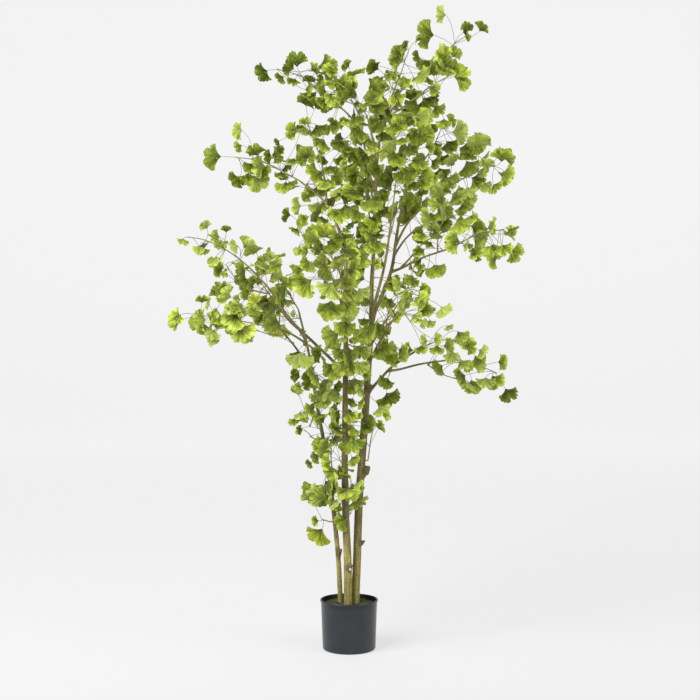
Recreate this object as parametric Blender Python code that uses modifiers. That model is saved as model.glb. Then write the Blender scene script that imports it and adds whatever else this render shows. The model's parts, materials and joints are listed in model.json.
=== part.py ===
"""Potted ginkgo tree: three slender stems with fan-leaved twigs, in a plain nursery pot.

Metres, +Z up. The origin is the centre of the pot's underside, and the front faces -Y.
The stems, branches and low twigs are laid by hand along points. Leaves that show stand where the
photograph has them, and the other twigs and leaves follow a seeded rule.
"""

import functools
import math
import random
from collections import namedtuple

import bmesh
import bpy
from mathutils import Matrix, Vector
from mathutils.bvhtree import BVHTree
from mathutils.kdtree import KDTree

OBJECT_NAME = "potted_ginkgo"
SEED = 20

# The pot: a thin turned shell with a narrow lip
POT_HEIGHT = 0.139
LIP_RADIUS = 0.0808
LIP_HEIGHT = 0.005
MOUTH_RADIUS = 0.0784
BASE_RADIUS = 0.0740
BASE_ROUNDING = 0.006
WALL = 0.0025
FLOOR = 0.004
FLOOR_CORNER = 0.003
LIP_SOFTENING = 0.0008
LIP_FILLET = 0.002
TURNING_STEPS = 36
ROUNDING_STEPS = 3

# The soil: a plug that fills the pot, a little crowned, with a plain hole for each stem
SOIL_LEVEL = 0.126
SOIL_CROWN = 0.002
SOIL_CROWN_RADIUS = 0.045
STEM_FOOT = 0.040
STEM_STRAIGHT_TO = 0.135
STEM_SIDES = 10
HOLE_SIDES = 20

# Clearances
GAP = 0.0003
LEAF_CLEARANCE = 0.0008
MERGE_DISTANCE = 0.00001

# Stems and branches
STEM_SPACING = 0.090
BRANCH_SPACING = 0.060
BRANCH_SIDES = 6
THICK_BRANCH = 0.0045
THICK_BRANCH_SIDES = 8
SEARCH_STEPS = 200
SHARP_ANGLE = math.radians(50)

# Twigs: each leaves its branch squarely on a short spur, and a side twig then leans
TWIG_SIDES = 4
TWIG_RADIUS = 0.0021
TWIG_TIP_RADIUS = 0.0012
TWIG_SPACING = 0.050
SPUR_LENGTH = 0.006
SPUR_SWELLING = 1.35
SIDE_TWIG_LENGTH = (0.060, 0.105)
LEAN_AHEAD = 0.55
LEAN_UP = 0.35

# Leaves: where they stand on a twig, and how many
TUFT_SPACING = 0.046
TUFT_LEAVES = 1
TIP_LEAVES = 3
FOOT_STEP = 0.0055
TRIES = 40
GOLDEN_ANGLE = math.radians(137.5)

# Leaves: the ranges that the seeded rule draws from, angles in degrees
TIP_SLANT = (14, 50)
SIDE_SLANT = (40, 75)
STALK_RISE = (-0.25, 0.50)
STALK_LENGTH = (0.034, 0.068)
BLADE_DROOP = (12, 56)
HANG_OUTWARD = 0.2
FACE_OUTWARD = 0.6
FACE_FRONT = 0.5
FACE_UP = 0.35
FACE_AROUND = 0.3
BLADE_ROLL = 28
BLADE_LENGTH = 0.045
BLADE_SIZES = (0.70, 1.24)
BLADE_SPREADS = (0.84, 1.06)
BLADE_NOTCHES = (0.92, 1.22)
BLADE_WAVES = (0.6, 1.3)
LEAF_THICKNESS = 0.0009
STALK_WIDTH = 0.0014
STALK_FOOT_WIDTH = 0.0005
STALK_FOOT_FREE = 0.009

# The camera of the photograph: its place, how many pixels off the middle a slope of 1 shows,
# and the middle column and row
CAMERA_DISTANCE = 3.36
CAMERA_HEIGHT = 0.836
CAMERA_ACROSS = 0.0025
PICTURE_FOCUS = 1200
PICTURE_MIDDLE = 350

# Leaves that show: how they fit their stalks
WIDTH_OVER_LENGTH = 1.5
SHOWN_DEPTHS = (-0.040, 0.025)
SHOWN_TILT = (-20, 38)
SHOWN_ROLL = 15
SHOWN_STALKS = (0.014, 0.098)
USUAL_STALK = 0.042
BEND_COST = 0.030
SHARPEST_BEND = 0.45
STEEPEST_FACE = 0.65
SITES_TRIED = 16
SHOWN_TRIES = 10
FURTHEST_STRAY = 9
WIDEST_BY_RULE = 1.2
LEAST_LENGTH = 0.024
FIRST_FOOT = 0.25

UP = Vector((0, 0, 1))
NEARLY_UP = Vector((0.01, 0, 1))
DOWN = Vector((0, 0, -1))
FRONT = Vector((0, -1, 0))

Branch = namedtuple("Branch", "name parent points radii tip sides")
Limb = namedtuple("Limb", "route radii")
Twig = namedtuple("Twig", "route radii tufts")
Leaf = namedtuple("Leaf", "root neck along face length spread notch wave")
Site = namedtuple("Site", "owner place ahead at_tip")

# What each branch grows from, points along it, radii as (part of its length, radius), further
# points for the twig at its tip, and the parts of its length where it bears a side twig.
# A branch's first point is drawn onto the centre line of what it grows from.
BRANCHES = (
    Branch(
        "left_stem", None,
        ((-0.030, 0.010, 0.246), (-0.044, 0.015, 0.386), (-0.065, 0.020, 0.540),
         (-0.093, 0.025, 0.695), (-0.113, 0.030, 0.822), (-0.142, 0.035, 0.944)),
        ((0, 0.0072), (0.5, 0.0060), (0.8, 0.0040), (1, 0.0026)),
        ((-0.184, 0.040, 1.020), (-0.205, 0.045, 1.062)), ()),
    Branch(
        "middle_stem", None,
        ((-0.004, -0.019, 0.251), (-0.009, -0.020, 0.363), (-0.012, -0.024, 0.502),
         (-0.011, -0.028, 0.697), (-0.009, -0.030, 0.891), (-0.011, -0.030, 1.091),
         (-0.037, 0.000, 1.194), (-0.074, 0.030, 1.260), (-0.137, 0.060, 1.315)),
        ((0, 0.0125), (0.3, 0.0096), (0.7, 0.0058), (1, 0.0026)),
        ((-0.199, 0.090, 1.353), (-0.264, 0.110, 1.385), (-0.332, 0.130, 1.397)), ()),
    Branch(
        "right_stem", None,
        ((0.022, 0.007, 0.247), (0.028, 0.010, 0.415), (0.038, 0.013, 0.555),
         (0.050, 0.017, 0.723), (0.062, 0.020, 0.892), (0.063, 0.020, 1.005),
         (0.069, 0.020, 1.118), (0.073, 0.015, 1.272), (0.084, 0.010, 1.412),
         (0.101, 0.000, 1.494), (0.131, -0.010, 1.576)),
        ((0, 0.0120), (0.40, 0.0105), (0.48, 0.0085), (0.7, 0.0050), (1, 0.0023)),
        ((0.146, -0.012, 1.612), (0.156, -0.010, 1.645)), (0.74, 0.87)),
    Branch(
        "left_low", "left_stem",
        ((-0.122, 0.030, 0.856), (-0.183, 0.060, 0.890), (-0.266, 0.100, 0.911)),
        ((0, 0.0030), (1, 0.0023)),
        ((-0.332, 0.130, 0.923), (-0.407, 0.150, 0.935), (-0.451, 0.150, 0.935)), (0.6,)),
    Branch(
        "left_inner", "left_stem",
        ((-0.130, 0.033, 0.880), (-0.166, 0.015, 0.915), (-0.205, 0.000, 0.965)),
        ((0, 0.0028), (1, 0.0022)),
        ((-0.225, -0.012, 0.995), (-0.252, -0.024, 1.032)), ()),
    Branch(
        "middle_left", "middle_stem",
        ((-0.010, -0.028, 0.767), (-0.047, -0.040, 0.808), (-0.102, -0.055, 0.861),
         (-0.162, -0.070, 0.921), (-0.216, -0.080, 1.000), (-0.270, -0.090, 1.059)),
        ((0, 0.0046), (1, 0.0024)),
        ((-0.329, -0.100, 1.105), (-0.391, -0.105, 1.134), (-0.436, -0.110, 1.142)),
        (0.78,)),
    Branch(
        "middle_up", "middle_stem",
        ((-0.058, 0.020, 1.240), (-0.066, 0.012, 1.300), (-0.078, 0.004, 1.362)),
        ((0, 0.0028), (1, 0.0022)),
        ((-0.094, -0.004, 1.415), (-0.116, -0.012, 1.468)), ()),
    Branch(
        "right_front", "right_stem",
        ((0.064, 0.020, 0.935), (0.078, 0.000, 0.990), (0.102, -0.040, 1.091),
         (0.121, -0.090, 1.240)),
        ((0, 0.0048), (1, 0.0024)),
        ((0.128, -0.112, 1.300), (0.151, -0.130, 1.374)), (0.70,)),
    Branch(
        "fork", "right_stem",
        ((0.065, 0.020, 0.926), (0.087, 0.030, 0.977), (0.120, 0.050, 1.063),
         (0.135, 0.070, 1.156), (0.148, 0.090, 1.230), (0.167, 0.110, 1.299),
         (0.210, 0.140, 1.376)),
        ((0, 0.0058), (0.5, 0.0042), (1, 0.0024)),
        ((0.245, 0.155, 1.430), (0.276, 0.170, 1.498)), (0.58, 0.84)),
    Branch(
        "fork_out", "fork",
        ((0.134, 0.065, 1.133), (0.165, 0.060, 1.195), (0.201, 0.050, 1.234),
         (0.257, 0.030, 1.282)),
        ((0, 0.0036), (1, 0.0024)),
        ((0.339, 0.000, 1.326), (0.406, -0.020, 1.351)), ()),
    Branch(
        "right_mid", "fork",
        ((0.119, 0.050, 1.058), (0.149, 0.030, 1.068), (0.204, 0.000, 1.094),
         (0.281, -0.050, 1.117)),
        ((0, 0.0036), (1, 0.0024)),
        ((0.356, -0.100, 1.155), (0.416, -0.130, 1.160)), (0.80,)),
    Branch(
        "right_mid_up", "right_mid",
        ((0.146, 0.032, 1.067), (0.172, 0.034, 1.096), (0.195, 0.028, 1.124)),
        ((0, 0.0028), (1, 0.0023)),
        ((0.230, 0.010, 1.150), (0.281, -0.010, 1.173)), ()),
    Branch(
        "low_front", "right_stem",
        ((0.058, 0.019, 0.850), (0.086, -0.010, 0.886), (0.121, -0.050, 0.919)),
        ((0, 0.0036), (1, 0.0023)),
        ((0.152, -0.092, 0.965), (0.172, -0.130, 0.995)), ()),
    Branch(
        "low_back", "low_front",
        ((0.084, -0.008, 0.884), (0.100, 0.022, 0.914), (0.122, 0.055, 0.942)),
        ((0, 0.0029), (1, 0.0023)),
        ((0.150, 0.098, 0.982), (0.172, 0.128, 1.020)), ()),
    Branch(
        "arch", "right_stem",
        ((0.050, 0.017, 0.715), (0.092, 0.000, 0.760), (0.124, -0.020, 0.793),
         (0.192, -0.070, 0.839)),
        ((0, 0.0044), (1, 0.0024)),
        ((0.246, -0.115, 0.862), (0.286, -0.140, 0.862)), ()),
    Branch(
        "arch_low", "arch",
        ((0.110, -0.010, 0.778), (0.142, 0.002, 0.782), (0.204, 0.020, 0.797),
         (0.285, 0.040, 0.808)),
        ((0, 0.0033), (1, 0.0024)),
        ((0.356, 0.060, 0.796), (0.424, 0.080, 0.770)), (0.66,)),
    Branch(
        "top_right", "right_stem",
        ((0.086, 0.009, 1.420), (0.104, 0.020, 1.498), (0.149, 0.032, 1.571),
         (0.204, 0.050, 1.620)),
        ((0, 0.0028), (1, 0.0022)),
        ((0.259, 0.060, 1.668), (0.306, 0.070, 1.716)), ()),
    Branch(
        "top_front", "right_stem",
        ((0.099, 0.001, 1.487), (0.138, -0.028, 1.502), (0.180, -0.055, 1.528)),
        ((0, 0.0024), (1, 0.0021)),
        ((0.222, -0.080, 1.556), (0.272, -0.108, 1.580)), ()),
    Branch(
        "top_left", "right_stem",
        ((0.074, 0.014, 1.286), (0.053, 0.020, 1.349), (0.034, 0.030, 1.449),
         (-0.012, 0.032, 1.511), (-0.077, 0.040, 1.558)),
        ((0, 0.0034), (1, 0.0023)),
        ((-0.140, 0.050, 1.615), (-0.206, 0.060, 1.637)), (0.50, 0.80)),
    Branch(
        "top_left_front", "top_left",
        ((0.051, 0.020, 1.360), (0.041, -0.010, 1.420), (0.030, -0.040, 1.478)),
        ((0, 0.0026), (1, 0.0022)),
        ((0.010, -0.074, 1.515), (-0.006, -0.112, 1.538)), ()),
    Branch(
        "front_middle", "middle_stem",
        ((-0.009, -0.030, 0.870), (-0.018, -0.080, 0.950), (-0.040, -0.160, 1.015),
         (-0.055, -0.230, 1.050)),
        ((0, 0.0040), (1, 0.0023)),
        ((-0.065, -0.285, 1.062), (-0.068, -0.330, 1.055)), (0.62,)),
    Branch(
        "front_right", "right_stem",
        ((0.056, 0.019, 0.800), (0.074, -0.050, 0.840), (0.098, -0.140, 0.885),
         (0.116, -0.205, 0.915)),
        ((0, 0.0036), (1, 0.0023)),
        ((0.130, -0.262, 0.930), (0.142, -0.308, 0.928)), (0.70,)),
    Branch(
        "front_left", "left_stem",
        ((-0.104, 0.028, 0.765), (-0.135, -0.040, 0.825), (-0.175, -0.120, 0.880),
         (-0.208, -0.185, 0.918)),
        ((0, 0.0032), (1, 0.0023)),
        ((-0.235, -0.240, 0.935), (-0.256, -0.284, 0.934)), (0.70,)),
    Branch(
        "front_high", "right_stem",
        ((0.072, 0.016, 1.240), (0.076, -0.050, 1.315), (0.068, -0.125, 1.382),
         (0.056, -0.186, 1.425)),
        ((0, 0.0032), (1, 0.0023)),
        ((0.045, -0.235, 1.448), (0.034, -0.276, 1.452)), (0.66,)),
    Branch(
        "back_right", "right_stem",
        ((0.061, 0.020, 0.872), (0.074, 0.090, 0.935), (0.094, 0.180, 0.995),
         (0.105, 0.245, 1.030)),
        ((0, 0.0038), (1, 0.0023)),
        ((0.114, 0.300, 1.045), (0.120, 0.348, 1.040)), ()),
    Branch(
        "back_middle", "middle_stem",
        ((-0.010, -0.030, 0.990), (-0.028, 0.040, 1.058), (-0.060, 0.120, 1.120),
         (-0.092, 0.190, 1.158)),
        ((0, 0.0036), (1, 0.0023)),
        ((-0.118, 0.246, 1.174), (-0.138, 0.292, 1.174)), ()),
    Branch(
        "back_left", "left_stem",
        ((-0.109, 0.029, 0.800), (-0.125, 0.100, 0.860), (-0.165, 0.190, 0.918),
         (-0.188, 0.244, 0.944)),
        ((0, 0.0032), (1, 0.0023)),
        ((-0.206, 0.286, 0.954), (-0.222, 0.326, 0.950)), ()),
    Branch(
        "back_high", "right_stem",
        ((0.071, 0.018, 1.190), (0.068, 0.080, 1.262), (0.058, 0.160, 1.334),
         (0.050, 0.208, 1.372)),
        ((0, 0.0032), (1, 0.0023)),
        ((0.045, 0.250, 1.392), (0.038, 0.292, 1.396)), ()),
    Branch(
        "back_fork", "fork",
        ((0.127, 0.058, 1.105), (0.165, 0.120, 1.160), (0.206, 0.182, 1.196),
         (0.232, 0.222, 1.212)),
        ((0, 0.0032), (1, 0.0023)),
        ((0.258, 0.264, 1.220), (0.280, 0.300, 1.214)), ()),
)

# Short twigs low on the stems, laid by hand: the stem, then the points that the twig passes.
# The first point shows only the side of the stem and the height that the twig leaves it at.
LOW_TWIGS = (
    ("left_stem", ((-0.070, 0.010, 0.350), (-0.078, 0.006, 0.362))),
    ("left_stem", ((-0.058, -0.010, 0.430), (-0.062, -0.026, 0.446))),
    ("left_stem", ((-0.040, 0.008, 0.500), (-0.051, 0.004, 0.545), (-0.045, -0.010, 0.600))),
    ("left_stem", ((-0.105, 0.030, 0.575), (-0.112, 0.034, 0.592))),
    ("left_stem", ((-0.120, 0.006, 0.648), (-0.130, 0.000, 0.662))),
    ("middle_stem", ((-0.030, -0.040, 0.400), (-0.036, -0.046, 0.416))),
    ("middle_stem", ((0.004, -0.060, 0.560), (0.006, -0.066, 0.578))),
    ("middle_stem", ((-0.040, -0.050, 0.700), (-0.052, -0.060, 0.726))),
    ("middle_stem", ((0.010, -0.060, 0.800), (0.020, -0.082, 0.822))),
    ("right_stem", ((0.066, 0.004, 0.522), (0.060, 0.006, 0.580), (0.068, -0.002, 0.620))),
)

# Swellings, a scar and a pointed stub: the stem, the middle of the lump, and its three radii
KNOTS = (
    ("right_stem", (0.046, 0.010, 0.498), (0.0125, 0.0115, 0.0140)),
    ("middle_stem", (0.002, -0.026, 0.231), (0.0070, 0.0070, 0.0120)),
    ("left_stem", (-0.0295, 0.0040, 0.2690), (0.0092, 0.0085, 0.0115)),
    ("right_stem", (0.054, 0.018, 0.727), (0.0115, 0.0110, 0.0130)),
)
STUB_POINTS = ((0.026, 0.008, 0.290), (0.036, 0.007, 0.296), (0.045, 0.006, 0.301))
STUB_RADII = ((0, 0.0100), (0.5, 0.0070), (1, 0.0012))

# A leaf's margin from one corner of the fan to the other: degrees off its middle line, then
# its reach and its lift off the flat, both as parts of the leaf's length
MARGIN = (
    (-76, 0.82, -0.12), (-47, 0.98, 0.07), (-18, 1.04, -0.05), (0, 0.80, 0.05),
    (18, 1.03, -0.04), (46, 0.99, 0.08), (75, 0.83, -0.11),
)

POT_COLOUR = (0.052, 0.058, 0.062, 1)
SOIL_COLOUR = (0.038, 0.040, 0.022, 1)
STEM_COLOUR = (0.230, 0.195, 0.085, 1)
LEAF_COLOUR = (0.215, 0.275, 0.050, 1)


def clear_scene():
    for item in list(bpy.data.objects):
        bpy.data.objects.remove(item, do_unlink=True)


def new_collection(name):
    collection = bpy.data.collections.new(name)
    bpy.context.scene.collection.children.link(collection)
    return collection


def new_material(name, colour, roughness):
    material = bpy.data.materials.new(name)
    material.use_nodes = True
    shader = material.node_tree.nodes["Principled BSDF"]
    shader.inputs["Base Color"].default_value = colour
    shader.inputs["Roughness"].default_value = roughness
    shader.inputs["Metallic"].default_value = 0
    return material

# Leaves that the photograph shows, read off it by eye: the column and row of the blade's middle,
# the hour on a clock face that the blade points to, and its width, all but the hour in pixels
SHOWN_LEAVES = (
    # The tips at the top
    (441, 14, 9, 19), (425, 34, 9, 30), (467, 27, 12, 17), (482, 27, 1, 17), (468, 37, 3, 10),
    (405, 45, 10, 11), (396, 55, 9, 20), (443, 53, 11, 18), (455, 52, 1, 17), (416, 57, 9, 14),
    (428, 66, 7, 26), (447, 66, 7, 26), (463, 77, 3, 27), (427, 80, 6, 16), (435, 89, 4, 16),
    (405, 83, 6, 16), (391, 76, 6, 14), (372, 66, 9, 16), (357, 73, 6, 20), (346, 65, 10, 12),
    # The upper left
    (262, 74, 8, 19), (297, 59, 12, 24), (289, 66, 10, 18), (280, 78, 8, 14), (293, 82, 7, 16),
    (315, 68, 2, 14), (328, 67, 3, 30), (309, 79, 12, 12), (309, 89, 3, 15), (308, 97, 6, 18),
    (320, 85, 5, 14), (337, 84, 6, 24), (343, 94, 5, 14), (321, 106, 6, 14), (330, 101, 5, 12),
    (237, 131, 9, 16), (238, 147, 8, 13), (212, 157, 9, 29), (255, 150, 11, 20), (278, 155, 3, 18),
    (258, 166, 9, 22), (235, 180, 8, 18), (246, 181, 6, 16), (259, 184, 5, 22), (265, 172, 4, 16),
    (281, 175, 6, 13), (282, 188, 7, 18), (291, 185, 5, 14), (277, 142, 8, 9), (291, 131, 9, 18),
    (305, 121, 12, 13), (304, 131, 6, 14), (319, 130, 5, 20), (331, 129, 6, 22), (341, 123, 3, 10),
    (321, 144, 7, 20), (303, 156, 9, 22), (292, 162, 7, 14), (340, 146, 7, 20), (315, 174, 8, 26),
    (338, 176, 3, 20), (340, 161, 6, 14), (324, 186, 6, 16), (343, 193, 6, 30), (306, 197, 8, 14),
    (296, 206, 9, 16), (286, 215, 9, 15), (318, 208, 6, 18), (328, 203, 5, 16),
    # The upper middle
    (350, 81, 6, 16), (346, 90, 7, 18), (377, 89, 9, 24), (414, 94, 6, 18), (397, 99, 6, 22),
    (374, 103, 8, 24), (428, 104, 5, 28), (438, 111, 5, 18), (413, 106, 7, 20), (388, 117, 6, 20),
    (405, 117, 6, 20), (422, 119, 6, 24), (376, 124, 8, 20), (355, 125, 6, 16), (396, 128, 6, 22),
    (430, 128, 5, 20), (359, 137, 6, 18), (417, 139, 6, 20), (350, 152, 6, 18), (388, 148, 5, 22),
    (372, 144, 6, 12), (411, 151, 6, 18), (436, 146, 6, 12), (397, 161, 6, 20), (361, 158, 8, 16),
    (372, 170, 6, 26), (352, 173, 7, 24), (366, 186, 6, 26), (382, 180, 5, 22), (405, 176, 6, 24),
    (356, 197, 6, 20), (428, 180, 6, 20), (345, 212, 6, 28), (357, 216, 6, 18), (372, 205, 6, 24),
    (387, 212, 6, 20), (370, 226, 6, 26), (411, 199, 6, 22), (408, 211, 6, 22), (420, 165, 6, 16),
    # The upper right
    (444, 124, 6, 16), (452, 120, 2, 14), (460, 132, 3, 24), (480, 143, 3, 20), (466, 151, 4, 24),
    (502, 155, 12, 22), (507, 176, 4, 22), (487, 163, 12, 15), (470, 168, 5, 24), (478, 181, 4, 22),
    (496, 188, 5, 16), (468, 193, 6, 20), (450, 146, 5, 18), (451, 160, 4, 16), (442, 172, 5, 18),
    (452, 181, 4, 20), (440, 190, 6, 18), (458, 197, 4, 20), (465, 208, 5, 20), (473, 218, 4, 14),
    (436, 202, 5, 20), (444, 213, 5, 22), (461, 226, 5, 24), (431, 218, 6, 18), (418, 235, 9, 18),
    (436, 231, 3, 12), (452, 242, 9, 24), (468, 246, 6, 12), (480, 227, 3, 16), (480, 240, 4, 22),
    (492, 228, 3, 14), (494, 252, 7, 18), (505, 250, 5, 18), (492, 261, 8, 18), (516, 254, 4, 22),
    (529, 246, 3, 20), (512, 231, 2, 14), (475, 257, 7, 14), (421, 251, 8, 12), (417, 262, 8, 16),
    # The left
    (183, 242, 6, 12), (205, 225, 11, 13), (226, 229, 12, 12), (215, 237, 9, 14), (221, 245, 6, 16),
    (200, 253, 6, 8), (212, 263, 8, 14), (217, 271, 9, 12), (224, 274, 3, 10), (234, 246, 9, 14),
    (251, 246, 2, 18), (240, 269, 9, 16), (273, 259, 1, 22), (262, 266, 12, 16), (277, 276, 4, 14),
    (221, 290, 12, 27), (202, 299, 12, 12), (175, 319, 9, 24), (199, 320, 9, 20), (215, 320, 2, 18),
    (212, 334, 7, 19), (232, 324, 9, 26), (244, 333, 5, 27), (236, 308, 9, 20), (249, 287, 9, 16),
    (256, 303, 8, 16), (265, 306, 9, 18), (267, 322, 8, 24), (281, 330, 7, 20), (256, 319, 8, 10),
    (279, 291, 6, 16), (285, 303, 6, 14), (286, 283, 5, 16), (293, 314, 9, 8), (303, 285, 8, 30),
    (304, 263, 9, 14), (297, 271, 9, 14), (298, 252, 6, 10), (312, 236, 8, 20), (303, 220, 8, 14),
    (295, 231, 7, 10), (317, 248, 5, 14),
    # The middle
    (324, 266, 8, 32), (338, 262, 5, 20), (329, 290, 7, 26), (334, 312, 5, 26), (327, 230, 6, 20),
    (337, 216, 7, 22), (332, 247, 6, 18), (343, 240, 6, 22), (349, 250, 6, 22), (367, 236, 8, 18),
    (374, 246, 6, 24), (358, 258, 7, 28), (354, 273, 6, 22), (343, 283, 6, 20), (362, 294, 5, 20),
    (350, 296, 6, 20), (346, 308, 6, 24), (378, 264, 3, 12), (345, 329, 6, 24), (362, 338, 7, 24),
    (377, 331, 6, 28), (331, 338, 8, 26), (347, 354, 6, 26), (338, 353, 8, 18), (316, 354, 9, 18),
    (362, 352, 6, 24), (384, 351, 5, 24), (345, 368, 6, 26), (362, 368, 5, 20), (331, 371, 7, 26),
    (300, 361, 6, 26), (294, 375, 9, 12), (312, 379, 8, 22), (355, 384, 6, 18), (360, 391, 8, 14),
    # The right
    (439, 270, 5, 18), (421, 271, 9, 12), (397, 284, 8, 16), (411, 281, 6, 15), (408, 296, 8, 14),
    (422, 298, 5, 18), (427, 291, 3, 12), (389, 303, 7, 16), (404, 306, 5, 14), (398, 316, 4, 14),
    (444, 311, 5, 18), (428, 310, 6, 14), (419, 321, 8, 12), (430, 324, 6, 12), (449, 328, 5, 10),
    (461, 337, 5, 20), (471, 346, 3, 20), (483, 352, 4, 14), (478, 361, 5, 18), (424, 341, 9, 14),
    (438, 339, 3, 14), (407, 350, 9, 18), (421, 350, 6, 14), (437, 350, 6, 16), (449, 346, 3, 18),
    (451, 357, 6, 20), (438, 368, 8, 16), (465, 366, 7, 18), (503, 362, 3, 16), (461, 378, 8, 20),
    (472, 387, 6, 22), (486, 383, 6, 18), (496, 382, 5, 22), (509, 395, 5, 22), (394, 360, 9, 16),
    (385, 383, 7, 18), (390, 399, 5, 22), (382, 410, 5, 18),
    # Low on the stems
    (324, 394, 6, 20), (307, 381, 9, 18), (298, 387, 9, 12), (310, 411, 7, 14), (302, 417, 8, 12),
    (317, 418, 6, 12), (336, 417, 9, 14), (337, 399, 6, 12), (351, 417, 5, 18), (368, 425, 4, 22),
    (381, 424, 2, 10), (335, 428, 8, 16), (354, 432, 6, 14), (299, 430, 9, 10), (323, 444, 7, 20),
    (337, 439, 5, 14), (352, 445, 6, 28), (354, 461, 5, 15), (326, 462, 9, 16), (309, 464, 8, 10),
    (330, 473, 8, 18), (341, 473, 3, 12), (317, 494, 7, 32), (329, 487, 5, 22), (347, 494, 7, 22),
    (361, 489, 4, 10), (337, 506, 8, 14), (357, 504, 5, 16), (341, 522, 8, 20), (315, 521, 9, 12),
    (318, 536, 7, 26),
)


def route_through(points, spacing):
    """A smooth route through hand-laid points, with a point about every spacing."""
    knots = [Vector(point) for point in points]
    knots = [2 * knots[0] - knots[1], *knots, 2 * knots[-1] - knots[-2]]
    route = [knots[1]]
    for before, start, finish, after in zip(knots, knots[1:], knots[2:], knots[3:]):
        steps = max(1, round((finish - start).length / spacing))
        for step in range(1, steps + 1):
            t = step / steps
            square = 2 * before - 5 * start + 4 * finish - after
            cube = 3 * start - before - 3 * finish + after
            route.append(0.5 * (2 * start + (finish - before) * t + square * t**2 + cube * t**3))
    return route


def parts_of_length(route):
    """How far along the route each of its points lies, from 0 to 1."""
    runs = [0.0]
    for start, finish in zip(route, route[1:]):
        runs.append(runs[-1] + (finish - start).length)
    return [run / runs[-1] for run in runs]


def length_of(route):
    return sum((finish - start).length for start, finish in zip(route, route[1:]))


def radii_along(route, stops):
    """The radius at each point of the route, straight between the stops."""
    radii = []
    for part in parts_of_length(route):
        for (start, first), (finish, second) in zip(stops, stops[1:]):
            if part <= finish or finish == stops[-1][0]:
                share = (part - start) / (finish - start)
                radii.append(first + (second - first) * share)
                break
    return radii


def place_on(limb, part):
    """The place, direction and radius at one part of a limb's length."""
    parts = parts_of_length(limb.route)
    for index in range(len(parts) - 1):
        if part <= parts[index + 1] or index == len(parts) - 2:
            share = (part - parts[index]) / (parts[index + 1] - parts[index])
            start, finish = limb.route[index : index + 2]
            radius = limb.radii[index] + (limb.radii[index + 1] - limb.radii[index]) * share
            return start.lerp(finish, share), (finish - start).normalized(), radius


def nearest_on(limb, point):
    """The place, direction and radius of a limb where it passes nearest to a point."""
    places = [place_on(limb, step / SEARCH_STEPS) for step in range(SEARCH_STEPS + 1)]
    return min(places, key=lambda place: (place[0] - Vector(point)).length)


def square_to(vector, axis):
    """The part of a vector that is square to an axis, as a unit vector."""
    return (vector - vector.dot(axis) * axis).normalized()


def tube_shell(route, radii, sides=BRANCH_SIDES):
    """Vertices and faces of a plain tube, for testing what it touches."""
    points = []
    faces = []
    side = (route[1] - route[0]).orthogonal()
    for index, (place, radius) in enumerate(zip(route, radii)):
        ahead = route[min(index + 1, len(route) - 1)] - route[max(index - 1, 0)]
        axis = ahead.normalized()
        side = square_to(side, axis)
        across = axis.cross(side)
        for corner in range(sides):
            angle = math.tau * corner / sides
            points.append(place + radius * (math.cos(angle) * side + math.sin(angle) * across))
    for ring in range(len(route) - 1):
        for corner in range(sides):
            first = ring * sides + corner
            second = ring * sides + (corner + 1) % sides
            faces.append((first, second, second + sides, first + sides))
    faces.append(tuple(range(sides - 1, -1, -1)))
    faces.append(tuple(range(len(points) - sides, len(points))))
    return points, faces


def leaf_sheet(leaf, bare_root=0.0):
    """Points and triangles of a leaf's sheet, its stalk's foot left off by bare_root."""
    side = leaf.along.cross(leaf.face)
    stalk = (leaf.neck - leaf.root).normalized()
    foot = leaf.root + bare_root * stalk
    foot_side = STALK_FOOT_WIDTH / 2 * square_to(side, stalk)
    half = STALK_WIDTH / 2
    points = [foot - foot_side, foot + foot_side]
    points += [leaf.neck - half * side, leaf.neck + half * side]
    for degrees, reach, lift in MARGIN:
        angle = math.radians(degrees * leaf.spread)
        reach *= leaf.notch if degrees == 0 else 1
        out = math.cos(angle) * leaf.along + math.sin(angle) * side
        points.append(leaf.neck + leaf.length * (reach * out + lift * leaf.wave * leaf.face))
    triangles = [(0, 1, 3), (0, 3, 2), (2, 5, 4), (2, 6, 5), (2, 7, 6), (2, 3, 7)]
    triangles += [(3, 8, 7), (3, 9, 8), (3, 10, 9)]
    return points, triangles


def leaf_shell(leaf):
    """A leaf's sheet with room on both sides, for testing what it touches."""
    sheet, triangles = leaf_sheet(leaf, bare_root=STALK_FOOT_FREE)
    room = LEAF_THICKNESS / 2 + LEAF_CLEARANCE
    points = [point + room * leaf.face for point in sheet]
    points += [point - room * leaf.face for point in sheet]
    count = len(sheet)
    faces = triangles + [(c + count, b + count, a + count) for a, b, c in triangles]
    rim = (0, 2, 4, 5, 6, 7, 8, 9, 10, 3, 1)
    for first, second in zip(rim, rim[1:] + rim[:1]):
        faces.append((first, second, second + count, first + count))
    return points, faces


def solid_room(shell):
    """A shell as a search tree with a ball round it."""
    points, faces = shell
    middle = sum(points, Vector()) / len(points)
    reach = max((point - middle).length for point in points)
    return BVHTree.FromPolygons(points, faces), middle, reach


def is_clear(room, taken):
    tree, middle, reach = room
    for other, other_middle, other_reach in taken:
        if (middle - other_middle).length < reach + other_reach and tree.overlap(other):
            return False
    return True


def lay_limbs():
    """Each branch's centre line and radii, by name."""
    limbs = {}
    for branch in BRANCHES:
        if branch.parent is None:
            route = route_through(
                [stem_place(branch.name, STEM_STRAIGHT_TO), *branch.points], STEM_SPACING)
            route.insert(0, stem_place(branch.name, STEM_FOOT))
        else:
            root = nearest_on(limbs[branch.parent], branch.points[0])[0]
            route = route_through([root, *branch.points[1:]], BRANCH_SPACING)
        limbs[branch.name] = Limb(route, radii_along(route, branch.radii))
    return limbs


def stem_place(name, height):
    """A point on the straight foot of a stem, where it stands in the soil."""
    across, back = {
        "left_stem": (-0.0245, 0.008),
        "middle_stem": (-0.0030, -0.018),
        "right_stem": (0.0175, 0.006),
    }[name]
    return Vector((across, back, height))


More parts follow.
